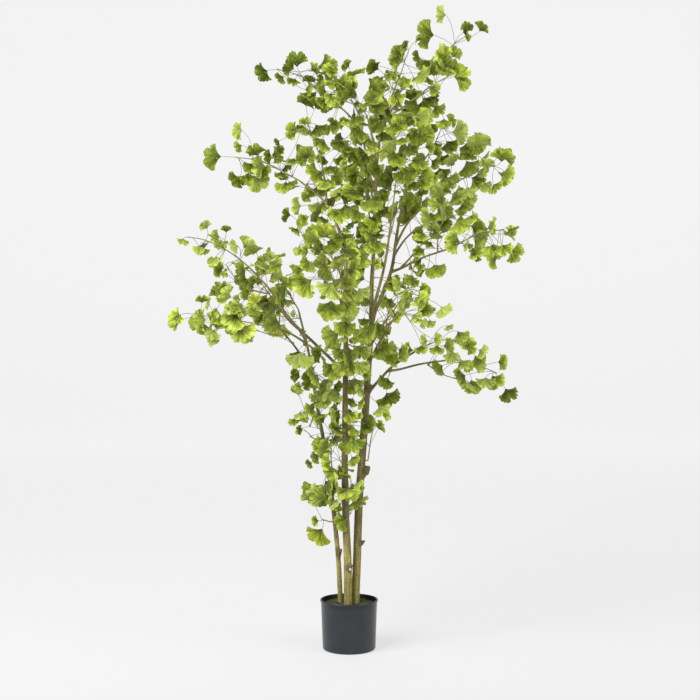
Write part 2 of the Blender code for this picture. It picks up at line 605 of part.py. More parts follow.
def make_twig(points):
    """A twig through its points, with the parts of its length where tufts of leaves stand."""
    route = route_through(points, TWIG_SPACING)
    radii = radii_along(route, ((0, TWIG_RADIUS), (1, TWIG_TIP_RADIUS)))
    count = max(1, round(length_of(route) / TUFT_SPACING))
    tufts = [1 - number / count for number in range(count)]
    return Twig(route, radii, tufts)


def tip_twig(limb, points):
    """The twig that carries on from the end of a limb, a hair's breadth off it."""
    end = limb.route[-1]
    ahead = (limb.route[-1] - limb.route[-2]).normalized()
    return make_twig([end + GAP * ahead, end + SPUR_LENGTH * ahead, *points])


def side_twig(limb, part, turn, length):
    """A twig that leaves a limb squarely, then leans along it and up."""
    place, ahead, radius = place_on(limb, part)
    out = Matrix.Rotation(turn, 3, ahead) @ square_to(NEARLY_UP, ahead)
    seat = place + (radius + GAP) * out
    spur = seat + SPUR_LENGTH * out
    middle = spur + length / 2 * (out + LEAN_AHEAD * ahead + LEAN_UP * UP).normalized()
    finish = middle + length / 2 * (out + 2 * LEAN_AHEAD * ahead + LEAN_UP * UP).normalized()
    return make_twig([seat, spur, middle, finish])


def low_twig(limb, points):
    """A hand-laid twig that leaves a stem squarely towards its first point."""
    place, ahead, radius = nearest_on(limb, points[0])
    out = square_to(Vector(points[0]) - place, ahead)
    seat = place + (radius + GAP) * out
    return make_twig([seat, seat + SPUR_LENGTH * out, *points[1:]])


def twig_room(twig, bare_root=0.0):
    radii = [radius + LEAF_CLEARANCE for radius in twig.radii]
    route = list(twig.route)
    if bare_root:
        route[0] = route[0] + bare_root * (route[1] - route[0]).normalized()
    return solid_room(tube_shell(route, radii))


def lay_twigs(limbs, chance):
    """Every twig in order, and the room that limbs and twigs take up."""
    taken = [
        solid_room(tube_shell(limb.route, [radius + LEAF_CLEARANCE for radius in limb.radii]))
        for limb in limbs.values()
    ]
    twigs = [low_twig(limbs[stem], points) for stem, points in LOW_TWIGS]
    twigs += [tip_twig(limbs[branch.name], branch.tip) for branch in BRANCHES]
    taken += [twig_room(twig) for twig in twigs]
    turn = 0.0
    for branch in BRANCHES:
        for part in branch.sides:
            for _ in range(TRIES):
                turn += GOLDEN_ANGLE
                length = chance.uniform(*SIDE_TWIG_LENGTH)
                twig = side_twig(limbs[branch.name], part, turn, length)
                if is_clear(twig_room(twig, bare_root=SPUR_LENGTH / 2), taken):
                    break
            twigs.append(twig)
            taken.append(twig_room(twig))
    return twigs, taken


def grow_leaf(site, turn, chance):
    """A leaf on its stalk: it reaches out and up, and the blade hangs from the neck."""
    ahead = site.ahead
    around = Matrix.Rotation(turn, 3, ahead) @ ahead.orthogonal().normalized()
    slant = math.radians(chance.uniform(*(TIP_SLANT if site.at_tip else SIDE_SLANT)))
    reach = math.cos(slant) * ahead + math.sin(slant) * around
    reach = (reach + chance.uniform(*STALK_RISE) * UP).normalized()
    neck = site.place + chance.uniform(*STALK_LENGTH) * reach
    droop = math.radians(chance.uniform(*BLADE_DROOP))
    hanging = square_to(DOWN + HANG_OUTWARD * around, reach)
    along = math.cos(droop) * reach + math.sin(droop) * hanging
    outward = Vector((neck.x, neck.y, 0)).normalized()
    facing = FACE_OUTWARD * outward + FACE_FRONT * FRONT + FACE_UP * UP + FACE_AROUND * around
    roll = chance.gauss(0, math.radians(BLADE_ROLL))
    face = Matrix.Rotation(roll, 3, along) @ square_to(facing, along)
    length = BLADE_LENGTH * chance.triangular(*BLADE_SIZES, 1)
    return shaped_leaf(site.place, neck, along, face, length, chance)


def shaped_leaf(root, neck, along, face, length, chance):
    """A leaf with its spread, notch and waves drawn by chance."""
    return Leaf(
        root, neck, along, face, length,
        spread=chance.uniform(*BLADE_SPREADS),
        notch=chance.uniform(*BLADE_NOTCHES),
        wave=chance.uniform(*BLADE_WAVES) * chance.choice((-1, 1)))


def seen_at(column, row, depth):
    """The place at some depth that shows at a column and row of the photograph."""
    scale = (CAMERA_DISTANCE + depth) / PICTURE_FOCUS
    across = CAMERA_ACROSS + (column - PICTURE_MIDDLE) * scale
    return Vector((across, depth, CAMERA_HEIGHT + (PICTURE_MIDDLE - row) * scale))


def blade_shown(shown, depth, tilt=0.0):
    """The neck, direction and length of a blade at some depth that shows as it should."""
    column, row, hour, width = shown
    turn = math.tau * hour / 12
    flat = Vector((math.sin(turn), 0, math.cos(turn)))
    along = math.cos(tilt) * flat + math.sin(tilt) * FRONT
    length = width / WIDTH_OVER_LENGTH * (CAMERA_DISTANCE + depth) / PICTURE_FOCUS
    return seen_at(column, row, depth) - length / 2 * along, along, length


def misfit(site, shown):
    """How poorly a leaf that shows there would hang from a site."""
    neck, along, _ = blade_shown(shown, site.place.y)
    stalk = neck - site.place
    return abs(stalk.length - USUAL_STALK) + BEND_COST * (1 - stalk.normalized().dot(along))


def leaf_shown(site, shown, chance):
    """A leaf from a site with its blade where it shows, nearly facing the viewer."""
    depth = site.place.y + chance.uniform(*SHOWN_DEPTHS)
    tilt = math.radians(chance.uniform(*SHOWN_TILT))
    neck, along, length = blade_shown(shown, depth, tilt)
    roll = chance.gauss(0, math.radians(SHOWN_ROLL))
    face = Matrix.Rotation(roll, 3, along) @ square_to(FRONT, along)
    return shaped_leaf(site.place, neck, along, face, length, chance)


def hangs_well(leaf):
    """Whether a stalk is neither too short, too long nor bent too sharply at the neck."""
    stalk = leaf.neck - leaf.root
    shortest, longest = SHOWN_STALKS
    if not shortest < stalk.length < longest:
        return False
    ahead = stalk.normalized()
    return ahead.dot(leaf.along) > SHARPEST_BEND and abs(ahead.dot(leaf.face)) < STEEPEST_FACE


def first_clear(leaves, taken):
    """The first of some leaves that is clear of what stands, which it then joins."""
    for leaf in leaves:
        room = solid_room(leaf_shell(leaf))
        if is_clear(room, taken):
            taken.append(room)
            return leaf
    return None


def lay_shown(sites, wanted, taken, chance):
    """Leaves that show, each on the site that suits it; then the sites and leaves left over."""
    free = list(sites)
    laid = []
    missed = []
    for shown in wanted:
        free.sort(key=lambda site: misfit(site, shown))
        for place, site in enumerate(free[:SITES_TRIED]):
            drawn = [leaf_shown(site, shown, chance) for _ in range(SHOWN_TRIES)]
            leaf = first_clear(filter(hangs_well, drawn), taken)
            if leaf:
                laid.append((site.owner, leaf))
                del free[place]
                break
        else:
            missed.append(shown)
    return laid, free, missed


@functools.cache
def shown_places():
    """The columns and rows of all leaves that show, to search among."""
    places = KDTree(len(SHOWN_LEAVES))
    for index, (column, row, _, _) in enumerate(SHOWN_LEAVES):
        places.insert((column, row, 0), index)
    places.balance()
    return places


def nearest_shown(leaf):
    """The leaf in the photograph nearest to a blade, and how many pixels lie between them."""
    middle = leaf.neck + leaf.length / 2 * leaf.along
    scale = PICTURE_FOCUS / (CAMERA_DISTANCE + middle.y)
    column = PICTURE_MIDDLE + (middle.x - CAMERA_ACROSS) * scale
    row = PICTURE_MIDDLE - (middle.z - CAMERA_HEIGHT) * scale
    _, index, distance = shown_places().find((column, row, 0))
    return SHOWN_LEAVES[index], distance


def lay_by_rule(sites, tries, taken, chance):
    """A leaf drawn by chance for each site, none far from or much wider than one that shows."""
    laid = []
    turn = 0.0
    for site in sites:
        drawn = []
        for number in range(tries):
            turn += GOLDEN_ANGLE
            leaf = grow_leaf(site, turn, chance)
            shown, distance = nearest_shown(leaf)
            longest = max(LEAST_LENGTH, WIDEST_BY_RULE * blade_shown(shown, leaf.neck.y)[2])
            if distance < FURTHEST_STRAY:
                drawn.append((distance, number, leaf._replace(length=min(leaf.length, longest))))
        leaf = first_clear([leaf for _, _, leaf in sorted(drawn)], taken)
        if leaf:
            laid.append((site.owner, leaf))
    return laid


def leaf_sites(twigs):
    """The places on the twigs that a leaf's stalk may grow from."""
    sites = []
    for number, twig in enumerate(twigs):
        limb = Limb(twig.route, twig.radii)
        foot_step = FOOT_STEP / length_of(twig.route)
        for part in twig.tufts:
            at_tip = part == 1
            for step in range(TIP_LEAVES if at_tip else TUFT_LEAVES):
                place, ahead, _ = place_on(limb, part - (step + FIRST_FOOT) * foot_step)
                sites.append(Site(number, place, ahead, at_tip))
    return sites


def lay_leaves(twigs, taken, chance):
    """For each twig, its leaves, then the leaves that show but found no twig to grow from."""
    laid, free, missed = lay_shown(leaf_sites(twigs), SHOWN_LEAVES, taken, chance)
    laid += lay_by_rule(free, TRIES, taken, chance)
    sprays = [[leaf for owner, leaf in laid if owner == number] for number in range(len(twigs))]
    return sprays, missed


def mesh_object(name, mesh, collection):
    item = bpy.data.objects.new(name, mesh)
    collection.objects.link(item)
    return item


def turned_object(name, profile, collection):
    """A profile of (radius, height) points, turned round the upright axis."""
    mesh = bpy.data.meshes.new(name)
    points = [(radius, 0, height) for radius, height in profile]
    mesh.from_pydata(points, [(i, i + 1) for i in range(len(points) - 1)], [])
    item = mesh_object(name, mesh, collection)
    screw = item.modifiers.new("turning", "SCREW")
    screw.axis = "Z"
    screw.angle = math.tau
    screw.steps = TURNING_STEPS
    screw.render_steps = TURNING_STEPS
    screw.use_merge_vertices = True
    screw.merge_threshold = MERGE_DISTANCE
    screw.use_smooth_shade = True
    return item


def pot_profile():
    inner_mouth = MOUTH_RADIUS - WALL
    inner_base = BASE_RADIUS - WALL
    profile = [
        (0, FLOOR),
        (inner_base - FLOOR_CORNER, FLOOR),
        (inner_base, FLOOR + FLOOR_CORNER),
        (inner_mouth, POT_HEIGHT - LIP_SOFTENING),
        (inner_mouth + LIP_SOFTENING, POT_HEIGHT),
        (LIP_RADIUS - LIP_SOFTENING, POT_HEIGHT),
        (LIP_RADIUS, POT_HEIGHT - LIP_SOFTENING),
        (LIP_RADIUS, POT_HEIGHT - LIP_HEIGHT),
        (MOUTH_RADIUS, POT_HEIGHT - LIP_HEIGHT - LIP_FILLET),
    ]
    for step in range(ROUNDING_STEPS + 1):
        angle = math.pi / 2 * step / ROUNDING_STEPS
        profile.append((
            BASE_RADIUS - BASE_ROUNDING * (1 - math.cos(angle)),
            BASE_ROUNDING * (1 - math.sin(angle))))
    profile.append((0, 0))
    return profile


def soil_profile():
    """The soil's outline, a gap inside the pot's inner wall all the way down."""
    inner_base = BASE_RADIUS - WALL
    low = FLOOR + FLOOR_CORNER
    slope = (MOUTH_RADIUS - BASE_RADIUS) / (POT_HEIGHT - LIP_SOFTENING - low)
    return [
        (0, SOIL_LEVEL + SOIL_CROWN),
        (SOIL_CROWN_RADIUS, SOIL_LEVEL + SOIL_CROWN / 2),
        (inner_base - GAP + slope * (SOIL_LEVEL - low), SOIL_LEVEL),
        (inner_base - GAP, low),
        (inner_base - FLOOR_CORNER, FLOOR + GAP),
        (0, FLOOR + GAP),
    ]


def make_pot(collection):
    pot = turned_object("pot", pot_profile(), collection)
    pot.data.materials.append(new_material("pot_plastic", POT_COLOUR, 0.5))


def make_soil(collection, cutters, limbs):
    soil = turned_object("soil", soil_profile(), collection)
    soil.data.materials.append(new_material("soil", SOIL_COLOUR, 0.95))
    for branch in BRANCHES:
        if branch.parent is None:
            hole = make_hole(branch.name, limbs[branch.name].radii[0], cutters)
            cut = soil.modifiers.new(f"hole_for_{branch.name}", "BOOLEAN")
            cut.operation = "DIFFERENCE"
            cut.object = hole


def make_hole(stem, radius, cutters):
    """The cutter of the plain hole that a stem stands in."""
    top = STEM_STRAIGHT_TO
    foot = STEM_FOOT - GAP
    bpy.ops.mesh.primitive_cylinder_add(
        vertices=HOLE_SIDES,
        radius=(radius + GAP) / math.cos(math.pi / HOLE_SIDES),
        depth=top - foot,
        location=stem_place(stem, (top + foot) / 2))
    hole = bpy.context.object
    hole.name = f"{stem}_hole"
    for owner in list(hole.users_collection):
        owner.objects.unlink(hole)
    cutters.objects.link(hole)
    hole.hide_render = True
    hole.display_type = "WIRE"
    return hole


def tube_object(name, route, radii, sides, collection):
    """A closed tube along a route, made a mesh with its caps welded on."""
    curve = bpy.data.curves.new(name, "CURVE")
    curve.dimensions = "3D"
    curve.bevel_depth = 1.0
    curve.bevel_resolution = (sides - 4) // 2
    curve.use_fill_caps = True
    spline = curve.splines.new("POLY")
    spline.points.add(len(route) - 1)
    for point, place, radius in zip(spline.points, route, radii):
        point.co = (*place, 1)
        point.radius = radius
    drawn = mesh_object(f"{name}_curve", curve, collection)
    tube = mesh_object(name, evaluated_mesh(drawn), collection)
    tube.matrix_world = drawn.matrix_world
    bpy.data.objects.remove(drawn, do_unlink=True)
    weld(tube.data)
    return tube


def evaluated_mesh(item):
    bpy.context.view_layer.update()
    depsgraph = bpy.context.evaluated_depsgraph_get()
    return bpy.data.meshes.new_from_object(item.evaluated_get(depsgraph))


def weld(mesh):
    work = bmesh.new()
    work.from_mesh(mesh)
    bmesh.ops.remove_doubles(work, verts=work.verts, dist=MERGE_DISTANCE)
    bmesh.ops.recalc_face_normals(work, faces=work.faces)
    work.to_mesh(mesh)
    work.free()


def fuse(base, additions, material):
    """Join a collection's objects to the base by one Boolean union, and remove them."""
    join = base.modifiers.new("join", "BOOLEAN")
    join.operation = "UNION"
    join.operand_type = "COLLECTION"
    join.collection = additions
    fused = evaluated_mesh(base)
    base.modifiers.clear()
    base.data = fused
    for item in list(additions.objects):
        bpy.data.objects.remove(item, do_unlink=True)
    bpy.data.collections.remove(additions)
    fused.materials.clear()
    fused.materials.append(material)
    fused.shade_smooth()
    fused.set_sharp_from_angle(angle=SHARP_ANGLE)


def sides_for(radius):
    return THICK_BRANCH_SIDES if radius > THICK_BRANCH else BRANCH_SIDES


def stem_of(name):
    """The stem that a branch belongs to."""
    parents = {branch.name: branch.parent for branch in BRANCHES}
    while parents[name]:
        name = parents[name]
    return name


def make_stems(limbs, collection):
    """Each stem with its branches, knots and stub, fused in one body."""
    material = new_material("stem_bark", STEM_COLOUR, 0.8)
    for stem in [branch.name for branch in BRANCHES if branch.parent is None]:
        base = tube_object(stem, limbs[stem].route, limbs[stem].radii, STEM_SIDES, collection)
        additions = new_collection(f"{stem}_additions")
        for name, limb in limbs.items():
            if name != stem and stem_of(name) == stem:
                tube_object(name, limb.route, limb.radii, sides_for(limb.radii[0]), additions)
        for number, (owner, middle, radii) in enumerate(KNOTS):
            if owner == stem:
                make_knot(f"knot_{number}", middle, radii, additions)
        if stem == "right_stem":
            route = route_through(STUB_POINTS, BRANCH_SPACING)
            tube_object(
                "stub", route, radii_along(route, STUB_RADII), BRANCH_SIDES, additions)
        fuse(base, additions, material)


def make_knot(name, middle, radii, collection):
    mesh = bpy.data.meshes.new(name)
    work = bmesh.new()
    bmesh.ops.create_icosphere(work, subdivisions=2, radius=1)
    bmesh.ops.transform(work, matrix=Matrix.Diagonal((*radii, 1)), verts=work.verts)
    bmesh.ops.translate(work, vec=middle, verts=work.verts)
    work.to_mesh(mesh)
    work.free()
    mesh_object(name, mesh, collection)


def make_leaf(name, leaf, collection):
    """A leaf: its waved sheet given thickness, with the stalk's foot at the twig's middle."""
    points, triangles = leaf_sheet(leaf)
    mesh = bpy.data.meshes.new(name)
    mesh.from_pydata(points, [], triangles)
    item = mesh_object(name, mesh, collection)
    thicken = item.modifiers.new("thickness", "SOLIDIFY")
    thicken.thickness = LEAF_THICKNESS
    thicken.offset = 0
    solid = evaluated_mesh(item)
    item.modifiers.clear()
    item.data = solid


def make_sprays(twigs, sprays, collection):
    material = new_material("ginkgo_leaf", LEAF_COLOUR, 0.55)
    for number, (twig, leaves) in enumerate(zip(twigs, sprays), 1):
        name = f"spray_{number:02d}"
        radii = swollen_radii(twig)
        base = tube_object(name, twig.route, radii, TWIG_SIDES, collection)
        additions = new_collection(f"{name}_leaves")
        for index, leaf in enumerate(leaves):
            make_leaf(f"{name}_leaf_{index}", leaf, additions)
        fuse(base, additions, material)


def swollen_radii(twig):
    """The twig's radii, larger at its end, where the last tuft stands on its spur."""
    return [*twig.radii[:-1], twig.radii[-1] * SPUR_SWELLING]


def main():
    clear_scene()
    collection = new_collection(OBJECT_NAME)
    cutters = new_collection("cutters")
    chance = random.Random(SEED)
    limbs = lay_limbs()
    twigs, taken = lay_twigs(limbs, chance)
    sprays, _ = lay_leaves(twigs, taken, chance)
    make_pot(collection)
    make_soil(collection, cutters, limbs)
    make_stems(limbs, collection)
    make_sprays(twigs, sprays, collection)


main()
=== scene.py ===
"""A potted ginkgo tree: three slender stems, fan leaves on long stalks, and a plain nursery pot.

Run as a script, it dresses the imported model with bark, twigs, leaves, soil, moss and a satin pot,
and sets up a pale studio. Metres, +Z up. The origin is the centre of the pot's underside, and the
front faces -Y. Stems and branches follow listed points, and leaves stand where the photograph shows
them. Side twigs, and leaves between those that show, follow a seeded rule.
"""

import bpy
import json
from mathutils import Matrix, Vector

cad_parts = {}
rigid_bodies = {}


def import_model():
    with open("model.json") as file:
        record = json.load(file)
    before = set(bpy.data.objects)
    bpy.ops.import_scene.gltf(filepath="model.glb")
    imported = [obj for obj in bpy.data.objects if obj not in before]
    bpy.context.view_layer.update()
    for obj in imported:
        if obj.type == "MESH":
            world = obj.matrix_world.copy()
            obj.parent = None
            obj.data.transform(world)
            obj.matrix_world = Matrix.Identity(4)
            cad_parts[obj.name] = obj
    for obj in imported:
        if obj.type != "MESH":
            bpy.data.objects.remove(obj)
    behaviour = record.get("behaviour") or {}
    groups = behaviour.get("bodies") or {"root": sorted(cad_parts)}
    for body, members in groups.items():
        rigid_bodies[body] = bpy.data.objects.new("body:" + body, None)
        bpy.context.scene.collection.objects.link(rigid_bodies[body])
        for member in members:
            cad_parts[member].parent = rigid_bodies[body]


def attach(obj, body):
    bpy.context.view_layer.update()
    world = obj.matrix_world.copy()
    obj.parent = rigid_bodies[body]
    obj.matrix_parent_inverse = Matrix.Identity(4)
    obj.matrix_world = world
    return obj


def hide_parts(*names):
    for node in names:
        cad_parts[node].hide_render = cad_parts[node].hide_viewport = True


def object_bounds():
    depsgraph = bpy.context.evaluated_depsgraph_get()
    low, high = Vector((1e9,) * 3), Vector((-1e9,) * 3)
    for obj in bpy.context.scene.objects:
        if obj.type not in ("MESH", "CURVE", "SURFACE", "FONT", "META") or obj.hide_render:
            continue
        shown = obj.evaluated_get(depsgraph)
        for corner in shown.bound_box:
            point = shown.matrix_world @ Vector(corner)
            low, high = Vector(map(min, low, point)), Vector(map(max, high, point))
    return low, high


bl_info = {
    "name": "Potted Ginkgo Tree",
    "version": (1, 0, 0),
    "blender": (4, 5, 0),
    "location": "View3D > Sidebar > Ginkgo",
    "description": "Builds the bark, foliage, soil and pot of a three-stemmed ginkgo",
    "category": "Object",
}

import functools
import json
import math
import random
from collections import Counter, namedtuple

import bmesh
import bpy
from bpy.props import FloatProperty, FloatVectorProperty, IntProperty, PointerProperty
from mathutils import Matrix, Vector, noise
from mathutils.bvhtree import BVHTree
from mathutils.kdtree import KDTree

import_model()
CAD_BOX = [list(corner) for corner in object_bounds()]

SEED = 20

# The pot: a thin turned shell with a narrow lip
POT_HEIGHT = 0.139
LIP_RADIUS = 0.0808
LIP_HEIGHT = 0.005
MOUTH_RADIUS = 0.0784
BASE_RADIUS = 0.0740
BASE_ROUNDING = 0.006
WALL = 0.0025
FLOOR = 0.004
FLOOR_CORNER = 0.003
LIP_SOFTENING = 0.0008
LIP_FILLET = 0.002
ROUNDING_STEPS = 3

# The soil: a plug that fills the pot, a little crowned
SOIL_LEVEL = 0.126
SOIL_CROWN = 0.002

# The feet of the stems: how far down and up they are straight, and where they stand
STEM_FOOT = 0.040
STEM_STRAIGHT_TO = 0.135
STEM_FEET = {
    "left_stem": (-0.0245, 0.008), "middle_stem": (-0.0030, -0.018),
    "right_stem": (0.0175, 0.006),
}

# Clearances
GAP = 0.0003
LEAF_CLEARANCE = 0.0008
MERGE_DISTANCE = 0.00001

# Stems and branches
STEM_SPACING = 0.090
BRANCH_SPACING = 0.060
BRANCH_SIDES = 6
SEARCH_STEPS = 200
SHARP_ANGLE = math.radians(50)

# Twigs: each leaves its branch squarely on a short spur, and a side twig then leans
TWIG_RADIUS = 0.0021
TWIG_TIP_RADIUS = 0.0012
TWIG_SPACING = 0.050
SPUR_LENGTH = 0.006
SIDE_TWIG_LENGTH = (0.060, 0.105)
LEAN_AHEAD = 0.55
LEAN_UP = 0.35

# Leaves: where they stand on a twig, and how many
TUFT_SPACING = 0.046
TUFT_LEAVES = 1
TIP_LEAVES = 3
FOOT_STEP = 0.0055
TRIES = 40
GOLDEN_ANGLE = math.radians(137.5)

# Leaves: the ranges that the seeded rule draws from, angles in degrees
TIP_SLANT = (14, 50)
SIDE_SLANT = (40, 75)
STALK_RISE = (-0.25, 0.50)
STALK_LENGTH = (0.034, 0.068)
BLADE_DROOP = (12, 56)
HANG_OUTWARD = 0.2
FACE_OUTWARD = 0.6
FACE_FRONT = 0.5
FACE_UP = 0.35
FACE_AROUND = 0.3
BLADE_ROLL = 28
BLADE_LENGTH = 0.045
BLADE_SIZES = (0.70, 1.24)
BLADE_SPREADS = (0.84, 1.06)
BLADE_NOTCHES = (0.92, 1.22)
BLADE_WAVES = (0.6, 1.3)
LEAF_THICKNESS = 0.0009
STALK_WIDTH = 0.0014
STALK_FOOT_WIDTH = 0.0005
STALK_FOOT_FREE = 0.009

# The camera of the photograph: its place, how many pixels off the middle a slope of 1 shows,
# and the middle column and row
CAMERA_DISTANCE = 3.36
CAMERA_HEIGHT = 0.836
CAMERA_ACROSS = 0.0025
PICTURE_FOCUS = 1200
PICTURE_MIDDLE = 350

# Leaves that show: how they fit their stalks
WIDTH_OVER_LENGTH = 1.5
SHOWN_DEPTHS = (-0.040, 0.025)
SHOWN_TILT = (-20, 38)
SHOWN_ROLL = 15
USUAL_STALK = 0.042
BEND_COST = 0.030
SITES_TRIED = 16
SHOWN_TRIES = 10
FURTHEST_STRAY = 9
WIDEST_BY_RULE = 1.2
LEAST_LENGTH = 0.024
FIRST_FOOT = 0.25

# The same for the leaves that the solids leave out. Near a leaf that shows, the rule lays as many
# as there are others in reach beyond LONELY_UP_TO, and MOST_NEAR_ONE at most.
MORE_TRIES = 30
MORE_ROLL = 60
MORE_SEED = 7
MOST_NEAR_ONE = 7
NEIGHBOUR_REACH = 26
LONELY_UP_TO = 2
FURTHEST_OF_MORE = 7

# How far a blade may stand out of the box of the solids, and the part of its length at which
# it is widest
SPILL = 0.008
WIDEST_AT = 0.8

UP = Vector((0, 0, 1))
NEARLY_UP = Vector((0.01, 0, 1))
DOWN = Vector((0, 0, -1))
FRONT = Vector((0, -1, 0))

Branch = namedtuple("Branch", "name parent points radii tip sides")
Limb = namedtuple("Limb", "route radii")
Twig = namedtuple("Twig", "route radii tufts")
Leaf = namedtuple("Leaf", "root neck along face length spread notch wave")
Site = namedtuple("Site", "owner place ahead at_tip")
Hang = namedtuple("Hang", "shortest longest bend face")
Strand = namedtuple("Strand", "route radii")
Foliage = namedtuple("Foliage", "strands leaves nodes")

# How long a stalk may be, and the cosines of its angles with the blade's direction, at least,
# and with its face, at most: where the solids have the leaf, and where they leave it out
SOLID_HANG = Hang(0.014, 0.098, 0.45, 0.65)
LOOSE_HANG = Hang(0.010, 0.125, -0.15, 0.85)

